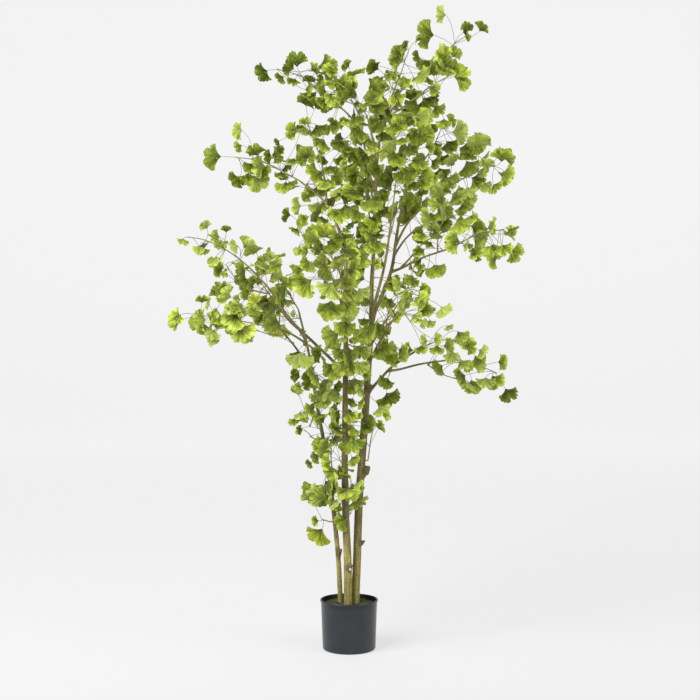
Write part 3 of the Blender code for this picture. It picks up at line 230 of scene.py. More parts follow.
# What each branch grows from, points along it, radii as (part of its length, radius), further
# points for the twig at its tip, and the parts of its length where it bears a side twig.
# A branch's first point is drawn onto the centre line of what it grows from.
BRANCHES = (
    Branch(
        "left_stem", None,
        ((-0.030, 0.010, 0.246), (-0.044, 0.015, 0.386), (-0.065, 0.020, 0.540),
         (-0.093, 0.025, 0.695), (-0.113, 0.030, 0.822), (-0.142, 0.035, 0.944)),
        ((0, 0.0072), (0.5, 0.0060), (0.8, 0.0040), (1, 0.0026)),
        ((-0.184, 0.040, 1.020), (-0.205, 0.045, 1.062)), ()),
    Branch(
        "middle_stem", None,
        ((-0.004, -0.019, 0.251), (-0.009, -0.020, 0.363), (-0.012, -0.024, 0.502),
         (-0.011, -0.028, 0.697), (-0.009, -0.030, 0.891), (-0.011, -0.030, 1.091),
         (-0.037, 0.000, 1.194), (-0.074, 0.030, 1.260), (-0.137, 0.060, 1.315)),
        ((0, 0.0125), (0.3, 0.0096), (0.7, 0.0058), (1, 0.0026)),
        ((-0.199, 0.090, 1.353), (-0.264, 0.110, 1.385), (-0.332, 0.130, 1.397)), ()),
    Branch(
        "right_stem", None,
        ((0.022, 0.007, 0.247), (0.028, 0.010, 0.415), (0.038, 0.013, 0.555),
         (0.050, 0.017, 0.723), (0.062, 0.020, 0.892), (0.063, 0.020, 1.005),
         (0.069, 0.020, 1.118), (0.073, 0.015, 1.272), (0.084, 0.010, 1.412),
         (0.101, 0.000, 1.494), (0.131, -0.010, 1.576)),
        ((0, 0.0120), (0.40, 0.0105), (0.48, 0.0085), (0.7, 0.0050), (1, 0.0023)),
        ((0.146, -0.012, 1.612), (0.156, -0.010, 1.645)), (0.74, 0.87)),
    Branch(
        "left_low", "left_stem",
        ((-0.122, 0.030, 0.856), (-0.183, 0.060, 0.890), (-0.266, 0.100, 0.911)),
        ((0, 0.0030), (1, 0.0023)),
        ((-0.332, 0.130, 0.923), (-0.407, 0.150, 0.935), (-0.451, 0.150, 0.935)), (0.6,)),
    Branch(
        "left_inner", "left_stem",
        ((-0.130, 0.033, 0.880), (-0.166, 0.015, 0.915), (-0.205, 0.000, 0.965)),
        ((0, 0.0028), (1, 0.0022)),
        ((-0.225, -0.012, 0.995), (-0.252, -0.024, 1.032)), ()),
    Branch(
        "middle_left", "middle_stem",
        ((-0.010, -0.028, 0.767), (-0.047, -0.040, 0.808), (-0.102, -0.055, 0.861),
         (-0.162, -0.070, 0.921), (-0.216, -0.080, 1.000), (-0.270, -0.090, 1.059)),
        ((0, 0.0046), (1, 0.0024)),
        ((-0.329, -0.100, 1.105), (-0.391, -0.105, 1.134), (-0.436, -0.110, 1.142)),
        (0.78,)),
    Branch(
        "middle_up", "middle_stem",
        ((-0.058, 0.020, 1.240), (-0.066, 0.012, 1.300), (-0.078, 0.004, 1.362)),
        ((0, 0.0028), (1, 0.0022)),
        ((-0.094, -0.004, 1.415), (-0.116, -0.012, 1.468)), ()),
    Branch(
        "right_front", "right_stem",
        ((0.064, 0.020, 0.935), (0.078, 0.000, 0.990), (0.102, -0.040, 1.091),
         (0.121, -0.090, 1.240)),
        ((0, 0.0048), (1, 0.0024)),
        ((0.128, -0.112, 1.300), (0.151, -0.130, 1.374)), (0.70,)),
    Branch(
        "fork", "right_stem",
        ((0.065, 0.020, 0.926), (0.087, 0.030, 0.977), (0.120, 0.050, 1.063),
         (0.135, 0.070, 1.156), (0.148, 0.090, 1.230), (0.167, 0.110, 1.299),
         (0.210, 0.140, 1.376)),
        ((0, 0.0058), (0.5, 0.0042), (1, 0.0024)),
        ((0.245, 0.155, 1.430), (0.276, 0.170, 1.498)), (0.58, 0.84)),
    Branch(
        "fork_out", "fork",
        ((0.134, 0.065, 1.133), (0.165, 0.060, 1.195), (0.201, 0.050, 1.234),
         (0.257, 0.030, 1.282)),
        ((0, 0.0036), (1, 0.0024)),
        ((0.339, 0.000, 1.326), (0.406, -0.020, 1.351)), ()),
    Branch(
        "right_mid", "fork",
        ((0.119, 0.050, 1.058), (0.149, 0.030, 1.068), (0.204, 0.000, 1.094),
         (0.281, -0.050, 1.117)),
        ((0, 0.0036), (1, 0.0024)),
        ((0.356, -0.100, 1.155), (0.416, -0.130, 1.160)), (0.80,)),
    Branch(
        "right_mid_up", "right_mid",
        ((0.146, 0.032, 1.067), (0.172, 0.034, 1.096), (0.195, 0.028, 1.124)),
        ((0, 0.0028), (1, 0.0023)),
        ((0.230, 0.010, 1.150), (0.281, -0.010, 1.173)), ()),
    Branch(
        "low_front", "right_stem",
        ((0.058, 0.019, 0.850), (0.086, -0.010, 0.886), (0.121, -0.050, 0.919)),
        ((0, 0.0036), (1, 0.0023)),
        ((0.152, -0.092, 0.965), (0.172, -0.130, 0.995)), ()),
    Branch(
        "low_back", "low_front",
        ((0.084, -0.008, 0.884), (0.100, 0.022, 0.914), (0.122, 0.055, 0.942)),
        ((0, 0.0029), (1, 0.0023)),
        ((0.150, 0.098, 0.982), (0.172, 0.128, 1.020)), ()),
    Branch(
        "arch", "right_stem",
        ((0.050, 0.017, 0.715), (0.092, 0.000, 0.760), (0.124, -0.020, 0.793),
         (0.192, -0.070, 0.839)),
        ((0, 0.0044), (1, 0.0024)),
        ((0.246, -0.115, 0.862), (0.286, -0.140, 0.862)), ()),
    Branch(
        "arch_low", "arch",
        ((0.110, -0.010, 0.778), (0.142, 0.002, 0.782), (0.204, 0.020, 0.797),
         (0.285, 0.040, 0.808)),
        ((0, 0.0033), (1, 0.0024)),
        ((0.356, 0.060, 0.796), (0.424, 0.080, 0.770)), (0.66,)),
    Branch(
        "top_right", "right_stem",
        ((0.086, 0.009, 1.420), (0.104, 0.020, 1.498), (0.149, 0.032, 1.571),
         (0.204, 0.050, 1.620)),
        ((0, 0.0028), (1, 0.0022)),
        ((0.259, 0.060, 1.668), (0.306, 0.070, 1.716)), ()),
    Branch(
        "top_front", "right_stem",
        ((0.099, 0.001, 1.487), (0.138, -0.028, 1.502), (0.180, -0.055, 1.528)),
        ((0, 0.0024), (1, 0.0021)),
        ((0.222, -0.080, 1.556), (0.272, -0.108, 1.580)), ()),
    Branch(
        "top_left", "right_stem",
        ((0.074, 0.014, 1.286), (0.053, 0.020, 1.349), (0.034, 0.030, 1.449),
         (-0.012, 0.032, 1.511), (-0.077, 0.040, 1.558)),
        ((0, 0.0034), (1, 0.0023)),
        ((-0.140, 0.050, 1.615), (-0.206, 0.060, 1.637)), (0.50, 0.80)),
    Branch(
        "top_left_front", "top_left",
        ((0.051, 0.020, 1.360), (0.041, -0.010, 1.420), (0.030, -0.040, 1.478)),
        ((0, 0.0026), (1, 0.0022)),
        ((0.010, -0.074, 1.515), (-0.006, -0.112, 1.538)), ()),
    Branch(
        "front_middle", "middle_stem",
        ((-0.009, -0.030, 0.870), (-0.018, -0.080, 0.950), (-0.040, -0.160, 1.015),
         (-0.055, -0.230, 1.050)),
        ((0, 0.0040), (1, 0.0023)),
        ((-0.065, -0.285, 1.062), (-0.068, -0.330, 1.055)), (0.62,)),
    Branch(
        "front_right", "right_stem",
        ((0.056, 0.019, 0.800), (0.074, -0.050, 0.840), (0.098, -0.140, 0.885),
         (0.116, -0.205, 0.915)),
        ((0, 0.0036), (1, 0.0023)),
        ((0.130, -0.262, 0.930), (0.142, -0.308, 0.928)), (0.70,)),
    Branch(
        "front_left", "left_stem",
        ((-0.104, 0.028, 0.765), (-0.135, -0.040, 0.825), (-0.175, -0.120, 0.880),
         (-0.208, -0.185, 0.918)),
        ((0, 0.0032), (1, 0.0023)),
        ((-0.235, -0.240, 0.935), (-0.256, -0.284, 0.934)), (0.70,)),
    Branch(
        "front_high", "right_stem",
        ((0.072, 0.016, 1.240), (0.076, -0.050, 1.315), (0.068, -0.125, 1.382),
         (0.056, -0.186, 1.425)),
        ((0, 0.0032), (1, 0.0023)),
        ((0.045, -0.235, 1.448), (0.034, -0.276, 1.452)), (0.66,)),
    Branch(
        "back_right", "right_stem",
        ((0.061, 0.020, 0.872), (0.074, 0.090, 0.935), (0.094, 0.180, 0.995),
         (0.105, 0.245, 1.030)),
        ((0, 0.0038), (1, 0.0023)),
        ((0.114, 0.300, 1.045), (0.120, 0.348, 1.040)), ()),
    Branch(
        "back_middle", "middle_stem",
        ((-0.010, -0.030, 0.990), (-0.028, 0.040, 1.058), (-0.060, 0.120, 1.120),
         (-0.092, 0.190, 1.158)),
        ((0, 0.0036), (1, 0.0023)),
        ((-0.118, 0.246, 1.174), (-0.138, 0.292, 1.174)), ()),
    Branch(
        "back_left", "left_stem",
        ((-0.109, 0.029, 0.800), (-0.125, 0.100, 0.860), (-0.165, 0.190, 0.918),
         (-0.188, 0.244, 0.944)),
        ((0, 0.0032), (1, 0.0023)),
        ((-0.206, 0.286, 0.954), (-0.222, 0.326, 0.950)), ()),
    Branch(
        "back_high", "right_stem",
        ((0.071, 0.018, 1.190), (0.068, 0.080, 1.262), (0.058, 0.160, 1.334),
         (0.050, 0.208, 1.372)),
        ((0, 0.0032), (1, 0.0023)),
        ((0.045, 0.250, 1.392), (0.038, 0.292, 1.396)), ()),
    Branch(
        "back_fork", "fork",
        ((0.127, 0.058, 1.105), (0.165, 0.120, 1.160), (0.206, 0.182, 1.196),
         (0.232, 0.222, 1.212)),
        ((0, 0.0032), (1, 0.0023)),
        ((0.258, 0.264, 1.220), (0.280, 0.300, 1.214)), ()),
)

# Short twigs low on the stems, given one by one: the stem, then the points that the twig passes.
# The first point shows only the side of the stem and the height that the twig leaves it at.
LOW_TWIGS = (
    ("left_stem", ((-0.070, 0.010, 0.350), (-0.078, 0.006, 0.362))),
    ("left_stem", ((-0.058, -0.010, 0.430), (-0.062, -0.026, 0.446))),
    ("left_stem", ((-0.040, 0.008, 0.500), (-0.051, 0.004, 0.545), (-0.045, -0.010, 0.600))),
    ("left_stem", ((-0.105, 0.030, 0.575), (-0.112, 0.034, 0.592))),
    ("left_stem", ((-0.120, 0.006, 0.648), (-0.130, 0.000, 0.662))),
    ("middle_stem", ((-0.030, -0.040, 0.400), (-0.036, -0.046, 0.416))),
    ("middle_stem", ((0.004, -0.060, 0.560), (0.006, -0.066, 0.578))),
    ("middle_stem", ((-0.040, -0.050, 0.700), (-0.052, -0.060, 0.726))),
    ("middle_stem", ((0.010, -0.060, 0.800), (0.020, -0.082, 0.822))),
    ("right_stem", ((0.066, 0.004, 0.522), (0.060, 0.006, 0.580), (0.068, -0.002, 0.620))),
)

# Knots: the stem, the middle of the lump, and its three radii. A pointed stub: its stem, the
# points it passes, and its radii as (part of its length, radius).
KNOTS = (
    ("right_stem", (0.046, 0.010, 0.498), (0.0125, 0.0115, 0.0140)),
    ("middle_stem", (0.002, -0.026, 0.231), (0.0070, 0.0070, 0.0120)),
    ("left_stem", (-0.0295, 0.0040, 0.2690), (0.0092, 0.0085, 0.0115)),
    ("right_stem", (0.054, 0.018, 0.727), (0.0115, 0.0110, 0.0130)),
)
STUB_STEM = "right_stem"
STUB_POINTS = ((0.026, 0.008, 0.290), (0.036, 0.007, 0.296), (0.045, 0.006, 0.301))
STUB_RADII = ((0, 0.0100), (0.5, 0.0070), (1, 0.0012))

# A leaf's margin from one corner of the fan to the other: degrees off its middle line, then
# its reach and its lift off the flat, both as parts of the leaf's length
MARGIN = (
    (-76, 0.82, -0.12), (-47, 0.98, 0.07), (-18, 1.04, -0.05), (0, 0.80, 0.05),
    (18, 1.03, -0.04), (46, 0.99, 0.08), (75, 0.83, -0.11),
)

# Leaves that the photograph shows, read off it: the column and row of the blade's middle,
# the hour on a clock face that the blade points to, and its width, all but the hour in pixels
SHOWN_LEAVES = (
    # The tips at the top
    (441, 14, 9, 19), (425, 34, 9, 30), (467, 27, 12, 17), (482, 27, 1, 17), (468, 37, 3, 10),
    (405, 45, 10, 11), (396, 55, 9, 20), (443, 53, 11, 18), (455, 52, 1, 17), (416, 57, 9, 14),
    (428, 66, 7, 26), (447, 66, 7, 26), (463, 77, 3, 27), (427, 80, 6, 16), (435, 89, 4, 16),
    (405, 83, 6, 16), (391, 76, 6, 14), (372, 66, 9, 16), (357, 73, 6, 20), (346, 65, 10, 12),
    # The upper left
    (262, 74, 8, 19), (297, 59, 12, 24), (289, 66, 10, 18), (280, 78, 8, 14), (293, 82, 7, 16),
    (315, 68, 2, 14), (328, 67, 3, 30), (309, 79, 12, 12), (309, 89, 3, 15), (308, 97, 6, 18),
    (320, 85, 5, 14), (337, 84, 6, 24), (343, 94, 5, 14), (321, 106, 6, 14), (330, 101, 5, 12),
    (237, 131, 9, 16), (238, 147, 8, 13), (212, 157, 9, 29), (255, 150, 11, 20), (278, 155, 3, 18),
    (258, 166, 9, 22), (235, 180, 8, 18), (246, 181, 6, 16), (259, 184, 5, 22), (265, 172, 4, 16),
    (281, 175, 6, 13), (282, 188, 7, 18), (291, 185, 5, 14), (277, 142, 8, 9), (291, 131, 9, 18),
    (305, 121, 12, 13), (304, 131, 6, 14), (319, 130, 5, 20), (331, 129, 6, 22), (341, 123, 3, 10),
    (321, 144, 7, 20), (303, 156, 9, 22), (292, 162, 7, 14), (340, 146, 7, 20), (315, 174, 8, 26),
    (338, 176, 3, 20), (340, 161, 6, 14), (324, 186, 6, 16), (343, 193, 6, 30), (306, 197, 8, 14),
    (296, 206, 9, 16), (286, 215, 9, 15), (318, 208, 6, 18), (328, 203, 5, 16),
    # The upper middle
    (350, 81, 6, 16), (346, 90, 7, 18), (377, 89, 9, 24), (414, 94, 6, 18), (397, 99, 6, 22),
    (374, 103, 8, 24), (428, 104, 5, 28), (438, 111, 5, 18), (413, 106, 7, 20), (388, 117, 6, 20),
    (405, 117, 6, 20), (422, 119, 6, 24), (376, 124, 8, 20), (355, 125, 6, 16), (396, 128, 6, 22),
    (430, 128, 5, 20), (359, 137, 6, 18), (417, 139, 6, 20), (350, 152, 6, 18), (388, 148, 5, 22),
    (372, 144, 6, 12), (411, 151, 6, 18), (436, 146, 6, 12), (397, 161, 6, 20), (361, 158, 8, 16),
    (372, 170, 6, 26), (352, 173, 7, 24), (366, 186, 6, 26), (382, 180, 5, 22), (405, 176, 6, 24),
    (356, 197, 6, 20), (428, 180, 6, 20), (345, 212, 6, 28), (357, 216, 6, 18), (372, 205, 6, 24),
    (387, 212, 6, 20), (370, 226, 6, 26), (411, 199, 6, 22), (408, 211, 6, 22), (420, 165, 6, 16),
    # The upper right
    (444, 124, 6, 16), (452, 120, 2, 14), (460, 132, 3, 24), (480, 143, 3, 20), (466, 151, 4, 24),
    (502, 155, 12, 22), (507, 176, 4, 22), (487, 163, 12, 15), (470, 168, 5, 24), (478, 181, 4, 22),
    (496, 188, 5, 16), (468, 193, 6, 20), (450, 146, 5, 18), (451, 160, 4, 16), (442, 172, 5, 18),
    (452, 181, 4, 20), (440, 190, 6, 18), (458, 197, 4, 20), (465, 208, 5, 20), (473, 218, 4, 14),
    (436, 202, 5, 20), (444, 213, 5, 22), (461, 226, 5, 24), (431, 218, 6, 18), (418, 235, 9, 18),
    (436, 231, 3, 12), (452, 242, 9, 24), (468, 246, 6, 12), (480, 227, 3, 16), (480, 240, 4, 22),
    (492, 228, 3, 14), (494, 252, 7, 18), (505, 250, 5, 18), (492, 261, 8, 18), (516, 254, 4, 22),
    (529, 246, 3, 20), (512, 231, 2, 14), (475, 257, 7, 14), (421, 251, 8, 12), (417, 262, 8, 16),
    # The left
    (183, 242, 6, 12), (205, 225, 11, 13), (226, 229, 12, 12), (215, 237, 9, 14), (221, 245, 6, 16),
    (200, 253, 6, 8), (212, 263, 8, 14), (217, 271, 9, 12), (224, 274, 3, 10), (234, 246, 9, 14),
    (251, 246, 2, 18), (240, 269, 9, 16), (273, 259, 1, 22), (262, 266, 12, 16), (277, 276, 4, 14),
    (221, 290, 12, 27), (202, 299, 12, 12), (175, 319, 9, 24), (199, 320, 9, 20), (215, 320, 2, 18),
    (212, 334, 7, 19), (232, 324, 9, 26), (244, 333, 5, 27), (236, 308, 9, 20), (249, 287, 9, 16),
    (256, 303, 8, 16), (265, 306, 9, 18), (267, 322, 8, 24), (281, 330, 7, 20), (256, 319, 8, 10),
    (279, 291, 6, 16), (285, 303, 6, 14), (286, 283, 5, 16), (293, 314, 9, 8), (303, 285, 8, 30),
    (304, 263, 9, 14), (297, 271, 9, 14), (298, 252, 6, 10), (312, 236, 8, 20), (303, 220, 8, 14),
    (295, 231, 7, 10), (317, 248, 5, 14),
    # The middle
    (324, 266, 8, 32), (338, 262, 5, 20), (329, 290, 7, 26), (334, 312, 5, 26), (327, 230, 6, 20),
    (337, 216, 7, 22), (332, 247, 6, 18), (343, 240, 6, 22), (349, 250, 6, 22), (367, 236, 8, 18),
    (374, 246, 6, 24), (358, 258, 7, 28), (354, 273, 6, 22), (343, 283, 6, 20), (362, 294, 5, 20),
    (350, 296, 6, 20), (346, 308, 6, 24), (378, 264, 3, 12), (345, 329, 6, 24), (362, 338, 7, 24),
    (377, 331, 6, 28), (331, 338, 8, 26), (347, 354, 6, 26), (338, 353, 8, 18), (316, 354, 9, 18),
    (362, 352, 6, 24), (384, 351, 5, 24), (345, 368, 6, 26), (362, 368, 5, 20), (331, 371, 7, 26),
    (300, 361, 6, 26), (294, 375, 9, 12), (312, 379, 8, 22), (355, 384, 6, 18), (360, 391, 8, 14),
    # The right
    (439, 270, 5, 18), (421, 271, 9, 12), (397, 284, 8, 16), (411, 281, 6, 15), (408, 296, 8, 14),
    (422, 298, 5, 18), (427, 291, 3, 12), (389, 303, 7, 16), (404, 306, 5, 14), (398, 316, 4, 14),
    (444, 311, 5, 18), (428, 310, 6, 14), (419, 321, 8, 12), (430, 324, 6, 12), (449, 328, 5, 10),
    (461, 337, 5, 20), (471, 346, 3, 20), (483, 352, 4, 14), (478, 361, 5, 18), (424, 341, 9, 14),
    (438, 339, 3, 14), (407, 350, 9, 18), (421, 350, 6, 14), (437, 350, 6, 16), (449, 346, 3, 18),
    (451, 357, 6, 20), (438, 368, 8, 16), (465, 366, 7, 18), (503, 362, 3, 16), (461, 378, 8, 20),
    (472, 387, 6, 22), (486, 383, 6, 18), (496, 382, 5, 22), (509, 395, 5, 22), (394, 360, 9, 16),
    (385, 383, 7, 18), (390, 399, 5, 22), (382, 410, 5, 18),
    # Low on the stems
    (324, 394, 6, 20), (307, 381, 9, 18), (298, 387, 9, 12), (310, 411, 7, 14), (302, 417, 8, 12),
    (317, 418, 6, 12), (336, 417, 9, 14), (337, 399, 6, 12), (351, 417, 5, 18), (368, 425, 4, 22),
    (381, 424, 2, 10), (335, 428, 8, 16), (354, 432, 6, 14), (299, 430, 9, 10), (323, 444, 7, 20),
    (337, 439, 5, 14), (352, 445, 6, 28), (354, 461, 5, 15), (326, 462, 9, 16), (309, 464, 8, 10),
    (330, 473, 8, 18), (341, 473, 3, 12), (317, 494, 7, 32), (329, 487, 5, 22), (347, 494, 7, 22),
    (361, 489, 4, 10), (337, 506, 8, 14), (357, 504, 5, 16), (341, 522, 8, 20), (315, 521, 9, 12),
    (318, 536, 7, 26),
)

# Further leaves of the photograph, read the same way, that the solids leave out
FURTHER_LEAVES = (
    (268, 157, 9, 16), (250, 168, 7, 18), (248, 179, 6, 20), (287, 168, 5, 11), (283, 177, 6, 10),
    (309, 152, 2, 16), (312, 158, 4, 12), (328, 184, 6, 20), (335, 178, 4, 16), (371, 150, 6, 14),
    (372, 158, 6, 12), (384, 198, 5, 14), (383, 137, 6, 14), (322, 151, 3, 12), (333, 122, 1, 12),
    (357, 104, 6, 10), (362, 110, 5, 10), (300, 128, 12, 10), (386, 136, 7, 16), (402, 141, 6, 14),
    (437, 152, 2, 14), (436, 163, 4, 16), (444, 160, 5, 14), (430, 146, 11, 12), (443, 178, 8, 16),
    (452, 150, 5, 14), (466, 150, 6, 14), (477, 148, 4, 18), (470, 157, 6, 14), (484, 172, 4, 14),
    (486, 187, 5, 16), (468, 199, 6, 18), (383, 193, 6, 14), (397, 192, 6, 8), (422, 192, 5, 14),
    (425, 203, 4, 14), (443, 126, 12, 8), (322, 220, 6, 14), (350, 226, 5, 10), (346, 231, 7, 10),
    (378, 236, 6, 12), (412, 186, 6, 16), (366, 209, 6, 10), (326, 384, 5, 16), (338, 387, 4, 14),
    (313, 398, 8, 12), (322, 404, 6, 16), (325, 402, 5, 16), (333, 410, 4, 12), (352, 390, 6, 14),
    (351, 402, 7, 14), (361, 404, 4, 12), (357, 416, 5, 14), (364, 322, 6, 12), (354, 340, 6, 12),
    (342, 340, 6, 10), (279, 312, 4, 10), (459, 334, 5, 16), (467, 345, 5, 14), (322, 160, 7, 14),
    (330, 170, 6, 14), (262, 262, 8, 14), (272, 270, 6, 14), (258, 281, 7, 12), (460, 222, 4, 14),
)

# Where the wall shows through the crown in the photograph: its column, its row and a reach
CLEARINGS = (
    (426, 262, 7), (268, 132, 9), (440, 240, 6), (404, 322, 12),
)


def route_through(points, spacing):
    """A smooth route through hand-laid points, with a point about every spacing."""
    knots = [Vector(point) for point in points]
    knots = [2 * knots[0] - knots[1], *knots, 2 * knots[-1] - knots[-2]]
    route = [knots[1]]
    for before, start, finish, after in zip(knots, knots[1:], knots[2:], knots[3:]):
        steps = max(1, round((finish - start).length / spacing))
        for step in range(1, steps + 1):
            t = step / steps
            square = 2 * before - 5 * start + 4 * finish - after
            cube = 3 * start - before - 3 * finish + after
            route.append(0.5 * (2 * start + (finish - before) * t + square * t**2 + cube * t**3))
    return route


def parts_of_length(route):
    """How far along the route each of its points lies, from 0 to 1."""
    runs = [0.0]
    for start, finish in zip(route, route[1:]):
        runs.append(runs[-1] + (finish - start).length)
    return [run / runs[-1] for run in runs]


def length_of(route):
    return sum((finish - start).length for start, finish in zip(route, route[1:]))


def radii_along(route, stops):
    """The radius at each point of the route, straight between the stops."""
    radii = []
    for part in parts_of_length(route):
        for (start, first), (finish, second) in zip(stops, stops[1:]):
            if part <= finish or finish == stops[-1][0]:
                share = (part - start) / (finish - start)
                radii.append(first + (second - first) * share)
                break
    return radii


def place_on(limb, part):
    """The place, direction and radius at one part of a limb's length."""
    parts = parts_of_length(limb.route)
    for index in range(len(parts) - 1):
        if part <= parts[index + 1] or index == len(parts) - 2:
            share = (part - parts[index]) / (parts[index + 1] - parts[index])
            start, finish = limb.route[index : index + 2]
            radius = limb.radii[index] + (limb.radii[index + 1] - limb.radii[index]) * share
            return start.lerp(finish, share), (finish - start).normalized(), radius


def nearest_on(limb, point):
    """The place, direction and radius of a limb where it passes nearest to a point."""
    places = [place_on(limb, step / SEARCH_STEPS) for step in range(SEARCH_STEPS + 1)]
    return min(places, key=lambda place: (place[0] - Vector(point)).length)


def square_to(vector, axis):
    """The part of a vector that is square to an axis, as a unit vector."""
    return (vector - vector.dot(axis) * axis).normalized()


def tube_shell(route, radii):
    """Vertices and faces of a plain tube, for testing what it touches."""
    points = []
    faces = []
    side = (route[1] - route[0]).orthogonal()
    for index, (place, radius) in enumerate(zip(route, radii)):
        ahead = route[min(index + 1, len(route) - 1)] - route[max(index - 1, 0)]
        axis = ahead.normalized()
        side = square_to(side, axis)
        across = axis.cross(side)
        for corner in range(BRANCH_SIDES):
            angle = math.tau * corner / BRANCH_SIDES
            points.append(place + radius * (math.cos(angle) * side + math.sin(angle) * across))
    for ring in range(0, len(points) - BRANCH_SIDES, BRANCH_SIDES):
        for corner in range(BRANCH_SIDES):
            first = ring + corner
            second = ring + (corner + 1) % BRANCH_SIDES
            faces.append((first, second, second + BRANCH_SIDES, first + BRANCH_SIDES))
    faces.append(tuple(range(BRANCH_SIDES - 1, -1, -1)))
    faces.append(tuple(range(len(points) - BRANCH_SIDES, len(points))))
    return points, faces


def leaf_sheet(leaf):
    """Points and triangles of a leaf's sheet, the foot of its stalk left off."""
    side = leaf.along.cross(leaf.face)
    stalk = (leaf.neck - leaf.root).normalized()
    foot = leaf.root + STALK_FOOT_FREE * stalk
    foot_side = STALK_FOOT_WIDTH / 2 * square_to(side, stalk)
    half = STALK_WIDTH / 2
    points = [foot - foot_side, foot + foot_side]
    points += [leaf.neck - half * side, leaf.neck + half * side]
    for degrees, reach, lift in MARGIN:
        angle = math.radians(degrees * leaf.spread)
        reach *= leaf.notch if degrees == 0 else 1
        out = math.cos(angle) * leaf.along + math.sin(angle) * side
        points.append(leaf.neck + leaf.length * (reach * out + lift * leaf.wave * leaf.face))
    triangles = [(0, 1, 3), (0, 3, 2), (2, 5, 4), (2, 6, 5), (2, 7, 6), (2, 3, 7)]
    triangles += [(3, 8, 7), (3, 9, 8), (3, 10, 9)]
    return points, triangles


def leaf_shell(leaf):
    """A leaf's sheet with room on both sides, for testing what it touches."""
    sheet, triangles = leaf_sheet(leaf)
    room = LEAF_THICKNESS / 2 + LEAF_CLEARANCE
    points = [point + room * leaf.face for point in sheet]
    points += [point - room * leaf.face for point in sheet]
    count = len(sheet)
    faces = triangles + [(c + count, b + count, a + count) for a, b, c in triangles]
    rim = (0, 2, 4, 5, 6, 7, 8, 9, 10, 3, 1)
    for first, second in zip(rim, rim[1:] + rim[:1]):
        faces.append((first, second, second + count, first + count))
    return points, faces


def solid_room(shell):
    """A shell as a search tree with a ball round it."""
    points, faces = shell
    middle = sum(points, Vector()) / len(points)
    reach = max((point - middle).length for point in points)
    return BVHTree.FromPolygons(points, faces), middle, reach


def is_clear(room, taken):
    tree, middle, reach = room
    for other, other_middle, other_reach in taken:
        if (middle - other_middle).length < reach + other_reach and tree.overlap(other):
            return False
    return True


def lay_limbs():
    """Each branch's centre line and radii, by name."""
    limbs = {}
    for branch in BRANCHES:
        if branch.parent is None:
            route = route_through(
                [stem_place(branch.name, STEM_STRAIGHT_TO), *branch.points], STEM_SPACING)
            route.insert(0, stem_place(branch.name, STEM_FOOT))
        else:
            root = nearest_on(limbs[branch.parent], branch.points[0])[0]
            route = route_through([root, *branch.points[1:]], BRANCH_SPACING)
        limbs[branch.name] = Limb(route, radii_along(route, branch.radii))
    return limbs


def stem_place(name, height):
    """A point on the straight foot of a stem, where it stands in the soil."""
    return Vector((*STEM_FEET[name], height))


def make_twig(points):
    """A twig through its points, with the parts of its length where tufts of leaves stand."""
    route = route_through(points, TWIG_SPACING)
    radii = radii_along(route, ((0, TWIG_RADIUS), (1, TWIG_TIP_RADIUS)))
    count = max(1, round(length_of(route) / TUFT_SPACING))
    tufts = [1 - number / count for number in range(count)]
    return Twig(route, radii, tufts)


def tip_twig(limb, points):
    """The twig that carries on from the end of a limb, a hair's breadth off it."""
    end = limb.route[-1]
    ahead = (limb.route[-1] - limb.route[-2]).normalized()
    return make_twig([end + GAP * ahead, end + SPUR_LENGTH * ahead, *points])


def side_twig(limb, part, turn, length):
    """A twig that leaves a limb squarely, then leans along it and up."""
    place, ahead, radius = place_on(limb, part)
    out = Matrix.Rotation(turn, 3, ahead) @ square_to(NEARLY_UP, ahead)
    seat = place + (radius + GAP) * out
    spur = seat + SPUR_LENGTH * out
    middle = spur + length / 2 * (out + LEAN_AHEAD * ahead + LEAN_UP * UP).normalized()
    finish = middle + length / 2 * (out + 2 * LEAN_AHEAD * ahead + LEAN_UP * UP).normalized()
    return make_twig([seat, spur, middle, finish])


def low_twig(limb, points):
    """A listed twig that leaves a stem squarely towards its first point."""
    place, ahead, radius = nearest_on(limb, points[0])
    out = square_to(Vector(points[0]) - place, ahead)
    seat = place + (radius + GAP) * out
    return make_twig([seat, seat + SPUR_LENGTH * out, *points[1:]])


def twig_room(twig, bare_root=0.0):
    radii = [radius + LEAF_CLEARANCE for radius in twig.radii]
    route = list(twig.route)
    if bare_root:
        route[0] = route[0] + bare_root * (route[1] - route[0]).normalized()
    return solid_room(tube_shell(route, radii))


def lay_twigs(limbs, chance):
    """Every twig in order, and the room that limbs and twigs take up."""
    taken = [
        solid_room(tube_shell(limb.route, [radius + LEAF_CLEARANCE for radius in limb.radii]))
        for limb in limbs.values()
    ]
    twigs = [low_twig(limbs[stem], points) for stem, points in LOW_TWIGS]
    twigs += [tip_twig(limbs[branch.name], branch.tip) for branch in BRANCHES]
    taken += [twig_room(twig) for twig in twigs]
    turn = 0.0
    for branch in BRANCHES:
        for part in branch.sides:
            for _ in range(TRIES):
                turn += GOLDEN_ANGLE
                length = chance.uniform(*SIDE_TWIG_LENGTH)
                twig = side_twig(limbs[branch.name], part, turn, length)
                if is_clear(twig_room(twig, bare_root=SPUR_LENGTH / 2), taken):
                    break
            twigs.append(twig)
            taken.append(twig_room(twig))
    return twigs, taken


